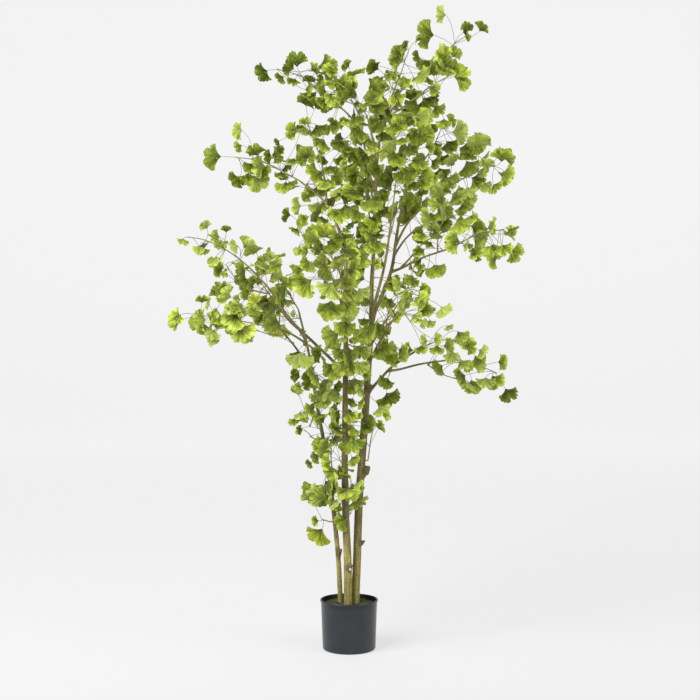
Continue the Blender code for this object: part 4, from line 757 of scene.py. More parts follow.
def grow_leaf(site, turn, chance, roll_range=BLADE_ROLL):
    """A leaf on its stalk: it reaches out and up, and the blade hangs from the neck."""
    ahead = site.ahead
    around = Matrix.Rotation(turn, 3, ahead) @ ahead.orthogonal().normalized()
    slant = math.radians(chance.uniform(*(TIP_SLANT if site.at_tip else SIDE_SLANT)))
    reach = math.cos(slant) * ahead + math.sin(slant) * around
    reach = (reach + chance.uniform(*STALK_RISE) * UP).normalized()
    neck = site.place + chance.uniform(*STALK_LENGTH) * reach
    droop = math.radians(chance.uniform(*BLADE_DROOP))
    hanging = square_to(DOWN + HANG_OUTWARD * around, reach)
    along = math.cos(droop) * reach + math.sin(droop) * hanging
    outward = Vector((neck.x, neck.y, 0)).normalized()
    facing = FACE_OUTWARD * outward + FACE_FRONT * FRONT + FACE_UP * UP + FACE_AROUND * around
    roll = chance.gauss(0, math.radians(roll_range))
    face = Matrix.Rotation(roll, 3, along) @ square_to(facing, along)
    length = BLADE_LENGTH * chance.triangular(*BLADE_SIZES, 1)
    return shaped_leaf(site.place, neck, along, face, length, chance)


def shaped_leaf(root, neck, along, face, length, chance):
    """A leaf with its spread, notch and waves drawn by chance."""
    return Leaf(
        root, neck, along, face, length,
        spread=chance.uniform(*BLADE_SPREADS),
        notch=chance.uniform(*BLADE_NOTCHES),
        wave=chance.uniform(*BLADE_WAVES) * chance.choice((-1, 1)))


def seen_at(column, row, depth):
    """The place at some depth that shows at a column and row of the photograph."""
    scale = (CAMERA_DISTANCE + depth) / PICTURE_FOCUS
    across = CAMERA_ACROSS + (column - PICTURE_MIDDLE) * scale
    return Vector((across, depth, CAMERA_HEIGHT + (PICTURE_MIDDLE - row) * scale))


def blade_shown(shown, depth, tilt=0.0):
    """The neck, direction and length of a blade at some depth that shows as it should."""
    column, row, hour, width = shown
    turn = math.tau * hour / 12
    flat = Vector((math.sin(turn), 0, math.cos(turn)))
    along = math.cos(tilt) * flat + math.sin(tilt) * FRONT
    length = width / WIDTH_OVER_LENGTH * (CAMERA_DISTANCE + depth) / PICTURE_FOCUS
    return seen_at(column, row, depth) - length / 2 * along, along, length


def misfit(site, shown):
    """How poorly a leaf that shows there would hang from a site."""
    neck, along, _ = blade_shown(shown, site.place.y)
    stalk = neck - site.place
    return abs(stalk.length - USUAL_STALK) + BEND_COST * (1 - stalk.normalized().dot(along))


def leaf_shown(site, shown, chance):
    """A leaf from a site with its blade where it shows, nearly facing the viewer."""
    depth = site.place.y + chance.uniform(*SHOWN_DEPTHS)
    tilt = math.radians(chance.uniform(*SHOWN_TILT))
    neck, along, length = blade_shown(shown, depth, tilt)
    roll = chance.gauss(0, math.radians(SHOWN_ROLL))
    face = Matrix.Rotation(roll, 3, along) @ square_to(FRONT, along)
    return shaped_leaf(site.place, neck, along, face, length, chance)


def hangs_well(leaf, hang):
    """Whether a stalk is neither too short, too long nor bent too sharply at the neck."""
    stalk = leaf.neck - leaf.root
    if not hang.shortest < stalk.length < hang.longest:
        return False
    ahead = stalk.normalized()
    return ahead.dot(leaf.along) > hang.bend and abs(ahead.dot(leaf.face)) < hang.face


def first_clear(leaves, taken):
    """The first of some leaves that is clear of what stands, which it then joins."""
    for leaf in leaves:
        room = solid_room(leaf_shell(leaf))
        if is_clear(room, taken):
            taken.append(room)
            return leaf
    return None


def lay_shown(sites, wanted, taken, chance, hang=SOLID_HANG, tries=SHOWN_TRIES):
    """Leaves that show, each on the site that suits it; then the sites and leaves left over."""
    free = list(sites)
    laid = []
    missed = []
    for shown in wanted:
        free.sort(key=lambda site: misfit(site, shown))
        for place, site in enumerate(free[:SITES_TRIED]):
            drawn = [leaf_shown(site, shown, chance) for _ in range(tries)]
            leaf = first_clear((leaf for leaf in drawn if hangs_well(leaf, hang)), taken)
            if leaf:
                laid.append((site.owner, leaf))
                del free[place]
                break
        else:
            missed.append(shown)
    return laid, free, missed


@functools.cache
def shown_places():
    """The columns and rows of all leaves that show, to search among."""
    places = KDTree(len(SHOWN_LEAVES))
    for index, (column, row, _, _) in enumerate(SHOWN_LEAVES):
        places.insert((column, row, 0), index)
    places.balance()
    return places


@functools.cache
def room_near(shown):
    """How many leaves by the rule may stand at one that shows: none where it stands alone."""
    column, row, _, _ = shown
    neighbours = len(shown_places().find_range((column, row, 0), NEIGHBOUR_REACH)) - 1
    return min(max(0, neighbours - LONELY_UP_TO), MOST_NEAR_ONE)


def stays_near(leaf):
    """Whether the tip of a blade and its two sides lie within the box of the solids, or nearly."""
    across = leaf.length / 2 * leaf.along.cross(leaf.face)
    widest = leaf.neck + leaf.length * WIDEST_AT * leaf.along
    tip = leaf.neck + leaf.length * leaf.along
    return all(
        least - SPILL < part < most + SPILL
        for end in (tip, widest + across, widest - across)
        for least, part, most in zip(CAD_BOX[0], end, CAD_BOX[1]))


def place_shown(leaf):
    """The column and the row of the photograph at which the middle of a blade lies."""
    middle = leaf.neck + leaf.length / 2 * leaf.along
    scale = PICTURE_FOCUS / (CAMERA_DISTANCE + middle.y)
    column = PICTURE_MIDDLE + (middle.x - CAMERA_ACROSS) * scale
    return column, PICTURE_MIDDLE - (middle.z - CAMERA_HEIGHT) * scale


def leaves_clear(leaf):
    """Whether a blade keeps out of the places where the wall shows through the crown."""
    shown = place_shown(leaf)
    return all(math.dist(shown, (column, row)) > reach for column, row, reach in CLEARINGS)


def nearest_shown(leaf):
    """The leaf in the photograph nearest to a blade, and how many pixels lie between them."""
    _, index, distance = shown_places().find((*place_shown(leaf), 0))
    return SHOWN_LEAVES[index], distance


def lay_by_rule(sites, tries, taken, chance, roll_range=BLADE_ROLL,
                room_for=lambda shown: math.inf, furthest=FURTHEST_STRAY):
    """A leaf drawn by chance for each site, none far from or much wider than one that shows."""
    laid = []
    crowd = Counter()
    turn = 0.0
    for site in sites:
        drawn = []
        for number in range(tries):
            turn += GOLDEN_ANGLE
            leaf = grow_leaf(site, turn, chance, roll_range)
            shown, distance = nearest_shown(leaf)
            longest = max(LEAST_LENGTH, WIDEST_BY_RULE * blade_shown(shown, leaf.neck.y)[2])
            if distance < furthest and crowd[shown] < room_for(shown):
                drawn.append((distance, number, leaf._replace(length=min(leaf.length, longest))))
        leaf = first_clear([leaf for _, _, leaf in sorted(drawn)], taken)
        if leaf:
            laid.append((site.owner, leaf))
            crowd[nearest_shown(leaf)[0]] += 1
    return laid


def leaf_sites(twigs):
    """The places on the twigs that a leaf's stalk may grow from."""
    sites = []
    for number, twig in enumerate(twigs):
        limb = Limb(twig.route, twig.radii)
        foot_step = FOOT_STEP / length_of(twig.route)
        for part in twig.tufts:
            at_tip = part == 1
            for step in range(TIP_LEAVES if at_tip else TUFT_LEAVES):
                place, ahead, _ = place_on(limb, part - (step + FIRST_FOOT) * foot_step)
                sites.append(Site(number, place, ahead, at_tip))
    return sites


def lay_leaves(twigs, taken, chance):
    """For each twig, its leaves, then the leaves that show but found no twig to grow from."""
    laid, free, missed = lay_shown(leaf_sites(twigs), SHOWN_LEAVES, taken, chance)
    laid += lay_by_rule(free, TRIES, taken, chance)
    sprays = [[leaf for owner, leaf in laid if owner == number] for number in range(len(twigs))]
    return sprays, missed


def stem_of(name):
    """The stem that a branch belongs to."""
    parents = {branch.name: branch.parent for branch in BRANCHES}
    while parents[name]:
        name = parents[name]
    return name


# Fine surfaces over the plan above, in metres: stems, branches, twigs, and knots with their burls
FINE_STEM_SPACING = 0.006
FINE_BRANCH_SPACING = 0.007
FINE_TWIG_SPACING = 0.009
TWIG_SINKS = 0.0035
COLLAR_SWELLING = 0.55
COLLAR_LENGTH = 0.010
KNOT_STEPS = 10
KNOT_REACH = 0.999
KNOT_END_RADIUS = 0.0002
BURLS = 7
BURL_SEED = 4
BURL_SET_OUT = 0.70
BURL_SIZES = (0.35, 0.55)
SHOULDER_DROP = 0.030
SHOULDER_STEPS = 5
SHOULDER_SHARES = (0.80, 0.85)
NODE_SWELLING = 1.25
NODE_LENGTH = 0.004

# How many times lower the relief on branches and twigs is than on stems, and how much finer
BRANCHES_FLATTER = 3
TWIGS_FLATTER = 5
TWIGS_FINER = 3

# Blades: rows of the fan as (part of the way to the margin, spaces across), then its scallops
BLADE_ROWS = ((0.0, 1), (0.30, 5), (0.68, 10))
SCALLOP_POINTS = 3
TOOTH_SIZES = (0.2, 0.5, 0.8, 1.3)
BAY_DEPTHS = (0.5, 1.5)
CREST_HEIGHTS = (0, 0.6)
CLEFTS = 2
CLEFT_DEPTHS = (0.0, 0.16)
PLEAT = 0.065
MARGIN_RUFFLE = 0.025
FOLDS = (0.02, 0.24)
WAVE_GAIN = 1.3
WAVE_BEND = 1.6
FAN_ANGLES = (64, 86)
NOTCH_ANGLE = 7.5
NOTCH_REACH = 0.80
NECK_SPREAD = 0.60
NOTCH_STEPS = 12
BLADE_SHARP_ANGLE = math.radians(60)
STALK_STEPS = 6
STALK_ARCH = 0.40
STALK_INTO_BLADE = 0.006
STALK_SHARES = (1.25, *[1.0] * (STALK_STEPS - 1), 0.9, 0.35)

# Tufts that the crown bears on short spurs: the limb, the stretch of it as parts of its length,
# and the spacing. The branches named as sparse bear fewer.
SPUR_RUNS = (
    ("left_stem", 0.26, 1.0, 0.040), ("middle_stem", 0.24, 1.0, 0.036),
    ("right_stem", 0.52, 1.0, 0.036),
)
BRANCH_SPURS = (0.30, 0.98, 0.040)
FEW_SPURS = (0.30, 0.98, 0.090)
SPARSE = ("arch", "arch_low", "low_front", "low_back", "right_mid_up", "back_right")
SPUR_LEAVES = (3, 5)
SPUR_REACH = 0.006
SPUR_RADIUS = 0.0019
SPUR_TAPER = 0.8
SPUR_TRIES = 20
SECOND_LEAF_BACK = 0.06
MORE_AT_TUFTS = 4

# Painted shade darkens leaves near the axis of the crown, except low down, and fewer of them are
# bright towards its top; painted light makes more of them bright low in the crown
CROWN_MIDDLE = 0.060
INNER_SHADE = 0.45
SHADE_REACH = 0.35
SHADE_FADES_BELOW = 1.0
LOW_CROWN = 0.80
HIGH_CROWN = 1.75
LOW_POWER = 0.62
HIGH_POWER = 2.6

# How far apart leaves of brightness 0 and 1 lie in the noise that mottles their blades
STREWN_BY_TONE = 37.0

# What each point of the leaf tree's base holds
LEAF_VALUES = (
    ("radius", "FLOAT"), ("fan", "FLOAT_VECTOR"), ("tone", "FLOAT"), ("blade", "BOOLEAN"),
    ("turn", "QUATERNION"), ("size", "FLOAT_VECTOR"), ("pattern", "INT"),
)


@functools.cache
def grown_plan():
    """The whole plant: its limbs, and for each limb the twigs, spurs and leaves that it bears."""
    chance = random.Random(SEED)
    limbs = lay_limbs()
    twigs, taken = lay_twigs(limbs, chance)
    sprays, missed = lay_leaves(twigs, taken, chance)
    bearers = [stem for stem, _ in LOW_TWIGS]
    bearers += [branch.name for branch in BRANCHES]
    bearers += [branch.name for branch in BRANCHES for _ in branch.sides]
    foliage = {name: Foliage([], [], []) for name in limbs}
    for number, (bearer, twig, leaves) in enumerate(zip(bearers, twigs, sprays), 1):
        held = foliage[bearer]
        held.strands.append(twig_strand(twig))
        held.leaves.extend(leaves)
        held.nodes.append(f"spray_{number:02d}")
    sites = more_sites(limbs, twigs, bearers, foliage, random.Random(MORE_SEED))
    wanted = [*missed, *FURTHER_LEAVES]
    laid, free, _ = lay_shown(sites, wanted, taken, chance, LOOSE_HANG, MORE_TRIES)
    laid += lay_by_rule(
        free, SPUR_TRIES, taken, chance, MORE_ROLL, room_near, FURTHEST_OF_MORE)
    laid = [
        (bearer, leaf) for bearer, leaf in laid if stays_near(leaf) and leaves_clear(leaf)]
    for bearer, leaf in laid:
        foliage[bearer].leaves.append(leaf)
    return limbs, foliage


def more_sites(limbs, twigs, bearers, foliage, chance):
    """Where the leaves grow that the solids leave out: at each tuft, and on spurs of their own."""
    sites = []
    for bearer, twig in zip(bearers, twigs):
        for part in twig.tufts:
            place, ahead, _ = place_on(twig, max(part - SECOND_LEAF_BACK, 0))
            more = 1 if bearer in SPARSE else MORE_AT_TUFTS
            sites += [Site(bearer, place, ahead, part == 1)] * more
    runs = list(SPUR_RUNS)
    for branch in BRANCHES:
        if branch.parent:
            runs.append((branch.name, *(FEW_SPURS if branch.name in SPARSE else BRANCH_SPURS)))
    turn = 0.0
    for name, start, finish, spacing in runs:
        count = round((finish - start) * length_of(limbs[name].route) / spacing)
        for number in range(count):
            part = start + (finish - start) * (number + 0.5) / count
            place, ahead, radius = place_on(limbs[name], part)
            turn += GOLDEN_ANGLE
            out = Matrix.Rotation(turn, 3, ahead) @ square_to(NEARLY_UP, ahead)
            out = (out + LEAN_UP * UP).normalized()
            tip = place + (radius + SPUR_REACH) * out
            foliage[name].strands.append(Strand(
                [place, place + radius * out, tip],
                [SPUR_RADIUS, SPUR_RADIUS, SPUR_RADIUS * SPUR_TAPER]))
            sites += [Site(name, tip, out, True)] * chance.randint(*SPUR_LEAVES)
    return sites


def twig_strand(twig):
    """A twig's fine course, sunk in its branch and swollen a little at each tuft."""
    start, following = twig.route[:2]
    root = start - TWIG_SINKS * (following - start).normalized()
    route = route_through([root, *twig.route[1:]], FINE_TWIG_SPACING)
    radii = radii_along(route, ((0, TWIG_RADIUS), (1, TWIG_TIP_RADIUS)))
    for index, part in enumerate(parts_of_length(route)):
        near = min(abs(part - tuft) for tuft in twig.tufts) * length_of(route)
        radii[index] *= 1 + (NODE_SWELLING - 1) * math.exp(-(near / NODE_LENGTH) ** 2)
    return Strand(route, radii)


def fine_limb(branch, limbs):
    """A limb's fine course: the same curve as in the plan with closer points, and a collar."""
    if branch.parent is None:
        foot = [stem_place(branch.name, STEM_FOOT)]
        straight = stem_place(branch.name, STEM_STRAIGHT_TO)
        count = round((straight - foot[0]).length / FINE_STEM_SPACING)
        foot = [foot[0].lerp(straight, step / count) for step in range(count)]
        route = foot + route_through([straight, *branch.points], FINE_STEM_SPACING)
        return Strand(route, radii_along(route, branch.radii))
    route = route_through([limbs[branch.name].route[0], *branch.points[1:]], FINE_BRANCH_SPACING)
    radii = radii_along(route, branch.radii)
    _, _, parent_radius = nearest_on(limbs[branch.parent], route[0])
    for index, place in enumerate(route):
        beyond = max(0, (place - route[0]).length - parent_radius)
        radii[index] *= 1 + COLLAR_SWELLING * math.exp(-beyond / COLLAR_LENGTH)
    return Strand(route, radii)


def knot_strand(middle, radii):
    """A lump on a stem as a short upright strand whose radius swells and closes again."""
    across, deep, tall = radii
    steps = [math.cos(math.pi * step / KNOT_STEPS) for step in range(KNOT_STEPS + 1)]
    route = [Vector(middle) - tall * KNOT_REACH * step * UP for step in steps]
    width = (across + deep) / 2
    return Strand(
        route, [max(KNOT_END_RADIUS, width * math.sqrt(1 - step * step)) for step in steps])


def burl_strands(middle, radii):
    """The small lumps that make a knot uneven, each partly sunk in it."""
    chance = random.Random(BURL_SEED)
    across, _, tall = radii
    strands = []
    for _ in range(BURLS):
        heading = chance.uniform(0, math.tau)
        out = BURL_SET_OUT * Vector((across * math.cos(heading), across * math.sin(heading), 0))
        rise = chance.uniform(-BURL_SET_OUT, BURL_SET_OUT) * tall * UP
        size = chance.uniform(*BURL_SIZES)
        strands.append(knot_strand(Vector(middle) + out + rise, [size * part for part in radii]))
    return strands


def shoulder_strand(limb, middle, radii):
    """The slope that carries a lump up from the stem below it."""
    lump = Vector(middle)
    foot, _, radius = nearest_on(limb, lump - SHOULDER_DROP * UP)
    route = [foot.lerp(lump, step / SHOULDER_STEPS) for step in range(SHOULDER_STEPS + 1)]
    low, high = SHOULDER_SHARES
    return Strand(route, radii_along(route, ((0, low * radius), (1, high * radii[0]))))


def lumps_on(stem, limbs):
    """The strands that stand out of a stem: its knots, and the stub where it has one."""
    lumps = []
    for owner, middle, radii in KNOTS:
        if owner == stem:
            lumps.append(knot_strand(middle, radii))
            lumps += burl_strands(middle, radii)
            lumps.append(shoulder_strand(limbs[owner], middle, radii))
    if stem == STUB_STEM:
        route = route_through(STUB_POINTS, FINE_BRANCH_SPACING)
        lumps.append(Strand(route, radii_along(route, STUB_RADII)))
    return lumps


def between(degrees, column):
    """The margin's reach or lift at an angle, smoothly between its points, the notch left out."""
    rows = [(row[0], row[column]) for row in MARGIN if row[0] or column == 2]
    degrees = min(max(degrees, rows[0][0]), rows[-1][0])
    for (low, first), (high, second) in zip(rows, rows[1:]):
        if degrees <= high:
            share = (1 - math.cos(math.pi * (degrees - low) / (high - low))) / 2
            return first + (second - first) * share


def blade_point(degrees, part, reach, lift):
    """A point of the fan: rows near the neck spread over a narrower angle than the margin."""
    angle = math.radians(degrees) * (NECK_SPREAD + (1 - NECK_SPREAD) * part)
    return Vector((part * reach * math.sin(angle), part * reach * math.cos(angle), lift))


def fan_rows(notch, side, tooth, chance):
    """A waved fan's points in rows from the neck to the scalloped margin, with their fan places."""
    spaces = BLADE_ROWS[-1][1]
    clefts = {chance.randrange(1, spaces): chance.uniform(*CLEFT_DEPTHS) for _ in range(CLEFTS)}
    pleats = [chance.uniform(-PLEAT, PLEAT) for _ in range(spaces + 1)]
    fold = side * chance.uniform(*FOLDS)
    fan_angle = chance.uniform(*FAN_ANGLES)
    tooth *= chance.choice(TOOTH_SIZES)
    depth = between(0, 1) - NOTCH_REACH * notch
    neck = STALK_WIDTH / BLADE_LENGTH / 2
    rows = [[(Vector((-neck, 0, 0)), -1, 0), (Vector((neck, 0, 0)), 1, 0)]]
    for part, count in [*BLADE_ROWS[1:], (1.0, spaces * SCALLOP_POINTS)]:
        row = []
        for index in range(count + 1):
            share = 2 * index / count - 1
            degrees = fan_angle * share
            reach = between(degrees, 1) - depth * math.exp(-(degrees / NOTCH_ANGLE) ** 2)
            column, place = divmod(index * spaces, count)
            following = pleats[min(column + 1, spaces)]
            pleat = pleats[column] + (following - pleats[column]) * place / count
            lift = WAVE_GAIN * side * between(degrees, 2) * part ** WAVE_BEND
            lift += (pleat + fold * abs(share)) * part
            if part == 1 and place == 0:
                reach *= 1 - tooth * chance.uniform(*BAY_DEPTHS)
                reach -= clefts.get(column, 0)
            elif part == 1:
                reach *= 1 + tooth * chance.uniform(*CREST_HEIGHTS)
            if part == 1:
                lift += chance.uniform(-MARGIN_RUFFLE, MARGIN_RUFFLE)
            row.append((blade_point(degrees, part, reach, lift), share, part))
        rows.append(row)
    return rows


def fan_faces(rows):
    """The faces between the rows of a fan, and the points round its rim, both by number."""
    starts = [sum(len(row) for row in rows[:index]) for index in range(len(rows))]
    faces = []
    for index in range(len(rows) - 1):
        inner, outer = starts[index : index + 2]
        ratio = (len(rows[index + 1]) - 1) // (len(rows[index]) - 1)
        for space in range(len(rows[index]) - 1):
            arc = [outer + ratio * space + step for step in range(ratio + 1)]
            faces.append([inner + space + 1, *reversed(arc), inner + space])
    rim = [*starts[:-1], *range(starts[-1], starts[-1] + len(rows[-1]))]
    rim += [starts[index] + len(rows[index]) - 1 for index in range(len(rows) - 2, -1, -1)]
    return faces, rim


def make_blade(name, notch, side, thickness, tooth, chance):
    """A blade of unit length along +Y with its face up: a thin fan, closed all round."""
    rows = fan_rows(notch, side, tooth, chance)
    faces, rim = fan_faces(rows)
    points = [point for row in rows for point in row]
    places = [point for point, _, _ in points]
    count = len(points)
    drop = Vector((0, 0, thickness / BLADE_LENGTH))
    under = [[corner + count for corner in reversed(face)] for face in faces]
    skirt = [
        (first, second, second + count, first + count)
        for first, second in zip(rim, rim[1:] + rim[:1])]
    places += [place - drop for place in places]
    mesh = plain_mesh(name, places, faces=faces + under + skirt)
    set_values(mesh, "fan", "FLOAT_VECTOR", [
        (share, part, lower) for lower in (0, 1) for _, share, part in points])
    mesh.shade_smooth()
    mesh.set_sharp_from_angle(angle=BLADE_SHARP_ANGLE)
    return mesh


def make_blade_patterns(settings):
    """Blades of every notch depth and both ways of waving, in a collection to pick from."""
    patterns = bpy.data.collections.new("blade_patterns")
    chance = random.Random(SEED)
    for side in (-1, 1):
        for step in range(NOTCH_STEPS):
            notch = notch_of(step)
            name = f"blade_{'in' if side < 0 else 'out'}_{step:02d}"
            mesh = make_blade(name, notch, side, settings.thickness, settings.tooth, chance)
            patterns.objects.link(bpy.data.objects.new(name, mesh))
    return patterns


def notch_of(step):
    """The depth of notch that a pattern stands for."""
    low, high = BLADE_NOTCHES
    return low + (high - low) * step / (NOTCH_STEPS - 1)


def pattern_of(leaf):
    """The number of the pattern whose notch and wave are nearest to the leaf's."""
    low, high = BLADE_NOTCHES
    step = round((leaf.notch - low) / (high - low) * (NOTCH_STEPS - 1))
    return step + (NOTCH_STEPS if leaf.wave > 0 else 0)


def stalk_strand(leaf, radius):
    """An arching stalk from the twig to the blade, running a little way into the blade."""
    run = (leaf.neck - leaf.root).length
    ahead = (leaf.neck - leaf.root) / run
    leaving = run * (ahead + STALK_ARCH * (ahead - leaf.along))
    arriving = run * (ahead + leaf.along).normalized()
    route = []
    for step in range(STALK_STEPS + 1):
        t = step / STALK_STEPS
        route.append(
            (2 * t**3 - 3 * t**2 + 1) * leaf.root + (t**3 - 2 * t**2 + t) * leaving
            + (3 * t**2 - 2 * t**3) * leaf.neck + (t**3 - t**2) * arriving)
    route.append(leaf.neck + STALK_INTO_BLADE * leaf.along)
    return Strand(route, [radius * share for share in STALK_SHARES])


def tone_and_shade_of(leaf, chance):
    """How bright a leaf is, from 0 to 1: by chance, with painted light and shade by height and by
    the way to the crown's axis.
    """
    off_axis = math.hypot(leaf.neck.x - CROWN_MIDDLE, leaf.neck.y)
    below = max(0, SHADE_FADES_BELOW - leaf.neck.z) / SHADE_REACH
    rise = min(1, max(0, leaf.neck.z - LOW_CROWN) / (HIGH_CROWN - LOW_CROWN))
    power = LOW_POWER + (HIGH_POWER - LOW_POWER) * rise ** 3
    return chance.random() ** power * min(1, INNER_SHADE + off_axis / SHADE_REACH + below)


def leafy_base(name, leaves, radius, chance):
    """The points and lines that the leaf tree grows from: a neck and a stalk for each leaf."""
    points, edges, rows = [], [], []
    for leaf in leaves:
        tone = tone_and_shade_of(leaf, chance)
        stalk = stalk_strand(leaf, radius)
        steps = len(stalk.route) - 1
        edges += line_edges(len(points), steps)
        points += [*stalk.route, leaf.neck]
        for step, thick in enumerate(stalk.radii):
            fan = (0, step / steps - 1, 0)
            rows.append((thick, fan, tone, False, (1, 0, 0, 0), (1, 1, 1), 0))
        side = leaf.along.cross(leaf.face)
        turn = Matrix((side, leaf.along, leaf.face)).transposed().to_quaternion()
        size = (leaf.length * leaf.spread, leaf.length, leaf.length * abs(leaf.wave))
        rows.append((radius, (0, 0, 0), tone, True, tuple(turn), size, pattern_of(leaf)))
    mesh = plain_mesh(name, points, edges)
    for (title, kind), values in zip(LEAF_VALUES, zip(*rows)):
        set_values(mesh, title, kind, values)
    return shown_object(name, mesh)


def line_edges(first, steps):
    """The edges of a line of points, numbered on from its first."""
    return [(first + step, first + step + 1) for step in range(steps)]


def set_values(mesh, name, kind, values):
    """A value for each point of a mesh, under a name that a tree or a material reads."""
    if kind in ("FLOAT_VECTOR", "QUATERNION"):
        values = [part for value in values for part in value]
    field = "vector" if kind == "FLOAT_VECTOR" else "value"
    mesh.attributes.new(name, kind, "POINT").data.foreach_set(field, values)


def strand_base(name, strands):
    """The lines that a tube tree follows, with the radius at each point."""
    points, edges, radii = [], [], []
    for strand in strands:
        edges += line_edges(len(points), len(strand.route) - 1)
        points += strand.route
        radii += strand.radii
    mesh = plain_mesh(name, points, edges)
    set_values(mesh, "radius", "FLOAT", radii)
    return shown_object(name, mesh)


def plain_mesh(name, points, edges=(), faces=()):
    """A mesh of these points, edges and faces."""
    mesh = bpy.data.meshes.new(name)
    mesh.from_pydata(points, edges, faces)
    return mesh


def finished_mesh(name, work):
    """The mesh of a worked shape, whose working copy is given up."""
    mesh = bpy.data.meshes.new(name)
    work.to_mesh(mesh)
    work.free()
    return mesh


def shown_object(name, mesh):
    """An object of the scene with a mesh of its own."""
    item = bpy.data.objects.new(name, mesh)
    bpy.context.scene.collection.objects.link(item)
    return item


def put(tree, kind, values=None, **settings):
    """Add a node to a tree; each of its values is a plain one or another node's output."""
    made = tree.nodes.new(kind)
    for name, setting in settings.items():
        setattr(made, name, setting)
    for key, value in (values or {}).items():
        if isinstance(value, bpy.types.NodeSocket):
            tree.links.new(value, made.inputs[key])
        else:
            made.inputs[key].default_value = value
    return made


def new_tree(name, inputs):
    """A Geometry Nodes tree with a geometry in and out, and the named inputs given."""
    tree = bpy.data.node_groups.new(name, "GeometryNodeTree")
    tree.is_modifier = True
    sockets = tree.interface
    sockets.new_socket("Geometry", in_out="OUTPUT", socket_type="NodeSocketGeometry")
    sockets.new_socket("Geometry", in_out="INPUT", socket_type="NodeSocketGeometry")
    for title, kind, value in inputs:
        socket = sockets.new_socket(title, in_out="INPUT", socket_type=f"NodeSocket{kind}")
        if value is not None:
            socket.default_value = value
    return tree, put(tree, "NodeGroupInput").outputs


def close_tree(tree, geometry, material):
    """End a tree: realize its instances, set the material, and give the geometry out."""
    real = put(tree, "GeometryNodeRealizeInstances", {"Geometry": geometry})
    painted = put(
        tree, "GeometryNodeSetMaterial", {"Geometry": real.outputs[0], "Material": material})
    put(tree, "NodeGroupOutput", {"Geometry": painted.outputs[0]})
    return tree


def named(tree, name, kind):
    """The output of a node that reads a named attribute."""
    reader = put(tree, "GeometryNodeInputNamedAttribute", {"Name": name}, data_type=kind)
    return reader.outputs["Attribute"]


def tubes_along(tree, lines, sides):
    """Tubes with closed ends along a mesh's lines, each as thick as the lines' radius says."""
    curve = put(tree, "GeometryNodeMeshToCurve", {"Mesh": lines})
    ring = put(tree, "GeometryNodeCurvePrimitiveCircle", {"Resolution": sides, "Radius": 1.0})
    tube = put(
        tree, "GeometryNodeCurveToMesh",
        {"Curve": curve.outputs[0], "Profile Curve": ring.outputs[0],
         "Scale": named(tree, "radius", "FLOAT"), "Fill Caps": True})
    return put(tree, "GeometryNodeSetShadeSmooth", {"Geometry": tube.outputs[0]}).outputs[0]


@functools.cache
def tube_tree():
    """Tubes along lines, with the bark's relief raised on them."""
    tree, given = new_tree("bark_tubes", (
        ("Sides", "Int", 8), ("Relief", "Float", 0.0003), ("Relief Size", "Float", 0.006),
        ("Material", "Material", None)))
    tubes = tubes_along(tree, given["Geometry"], given["Sides"])
    place = put(tree, "GeometryNodeInputPosition").outputs[0]
    detail = maths(tree, "DIVIDE", 1.0, given["Relief Size"])
    rough = put(tree, "ShaderNodeTexNoise", {"Vector": place, "Scale": detail, "Detail": 2.0})
    centred = maths(tree, "SUBTRACT", rough.outputs[0], 0.5)
    normal = put(tree, "GeometryNodeInputNormal").outputs[0]
    offset = put(
        tree, "ShaderNodeVectorMath",
        {0: normal, "Scale": product_of(tree, centred, given["Relief"])}, operation="SCALE")
    raised = put(
        tree, "GeometryNodeSetPosition", {"Geometry": tubes, "Offset": offset.outputs[0]})
    return close_tree(tree, raised.outputs[0], given["Material"])


@functools.cache
def leaf_tree():
    """A blade at each neck, picked from the patterns, and a stalk along each line."""
    tree, given = new_tree("fan_leaves", (
        ("Blades", "Collection", None), ("Stalk Sides", "Int", 5), ("Material", "Material", None)))
    sorted_points = put(
        tree, "GeometryNodeSeparateGeometry",
        {"Geometry": given["Geometry"], "Selection": named(tree, "blade", "BOOLEAN")},
        domain="POINT")
    choice = put(
        tree, "GeometryNodeCollectionInfo",
        {"Collection": given["Blades"], "Separate Children": True, "Reset Children": True})
    blades = put(
        tree, "GeometryNodeInstanceOnPoints",
        {"Points": sorted_points.outputs[0], "Instance": choice.outputs[0], "Pick Instance": True,
         "Instance Index": named(tree, "pattern", "INT"),
         "Rotation": named(tree, "turn", "QUATERNION"),
         "Scale": named(tree, "size", "FLOAT_VECTOR")})
    stalks = tubes_along(tree, sorted_points.outputs[1], given["Stalk Sides"])
    together = put(tree, "GeometryNodeJoinGeometry")
    tree.links.new(stalks, together.inputs[0])
    tree.links.new(blades.outputs[0], together.inputs[0])
    return close_tree(tree, together.outputs[0], given["Material"])


def grow(item, tree, values):
    """Run a tree on an object with these inputs and keep its result as the object's own mesh."""
    work = item.modifiers.new(tree.name, "NODES")
    work.node_group = tree
    for socket in tree.interface.items_tree:
        if socket.in_out == "INPUT" and socket.name in values:
            work[socket.identifier] = values[socket.name]
    made = evaluated_mesh(item)
    item.modifiers.clear()
    item.data = made
    return item


def evaluated_mesh(item):
    """A plain mesh of an object as its modifiers leave it."""
    bpy.context.view_layer.update()
    depsgraph = bpy.context.evaluated_depsgraph_get()
    return bpy.data.meshes.new_from_object(item.evaluated_get(depsgraph))


def fuse(base, additions):
    """Join objects to the base by one Boolean union, and remove them."""
    held = bpy.data.collections.new(f"{base.name}_additions")
    bpy.context.scene.collection.children.link(held)
    for item in additions:
        bpy.context.scene.collection.objects.unlink(item)
        held.objects.link(item)
    join = base.modifiers.new("join", "BOOLEAN")
    join.operation = "UNION"
    join.operand_type = "COLLECTION"
    join.solver = "MANIFOLD"
    join.collection = held
    fused = evaluated_mesh(base)
    base.modifiers.clear()
    base.data = fused
    for item in list(held.objects):
        bpy.data.objects.remove(item, do_unlink=True)
    bpy.data.collections.remove(held)


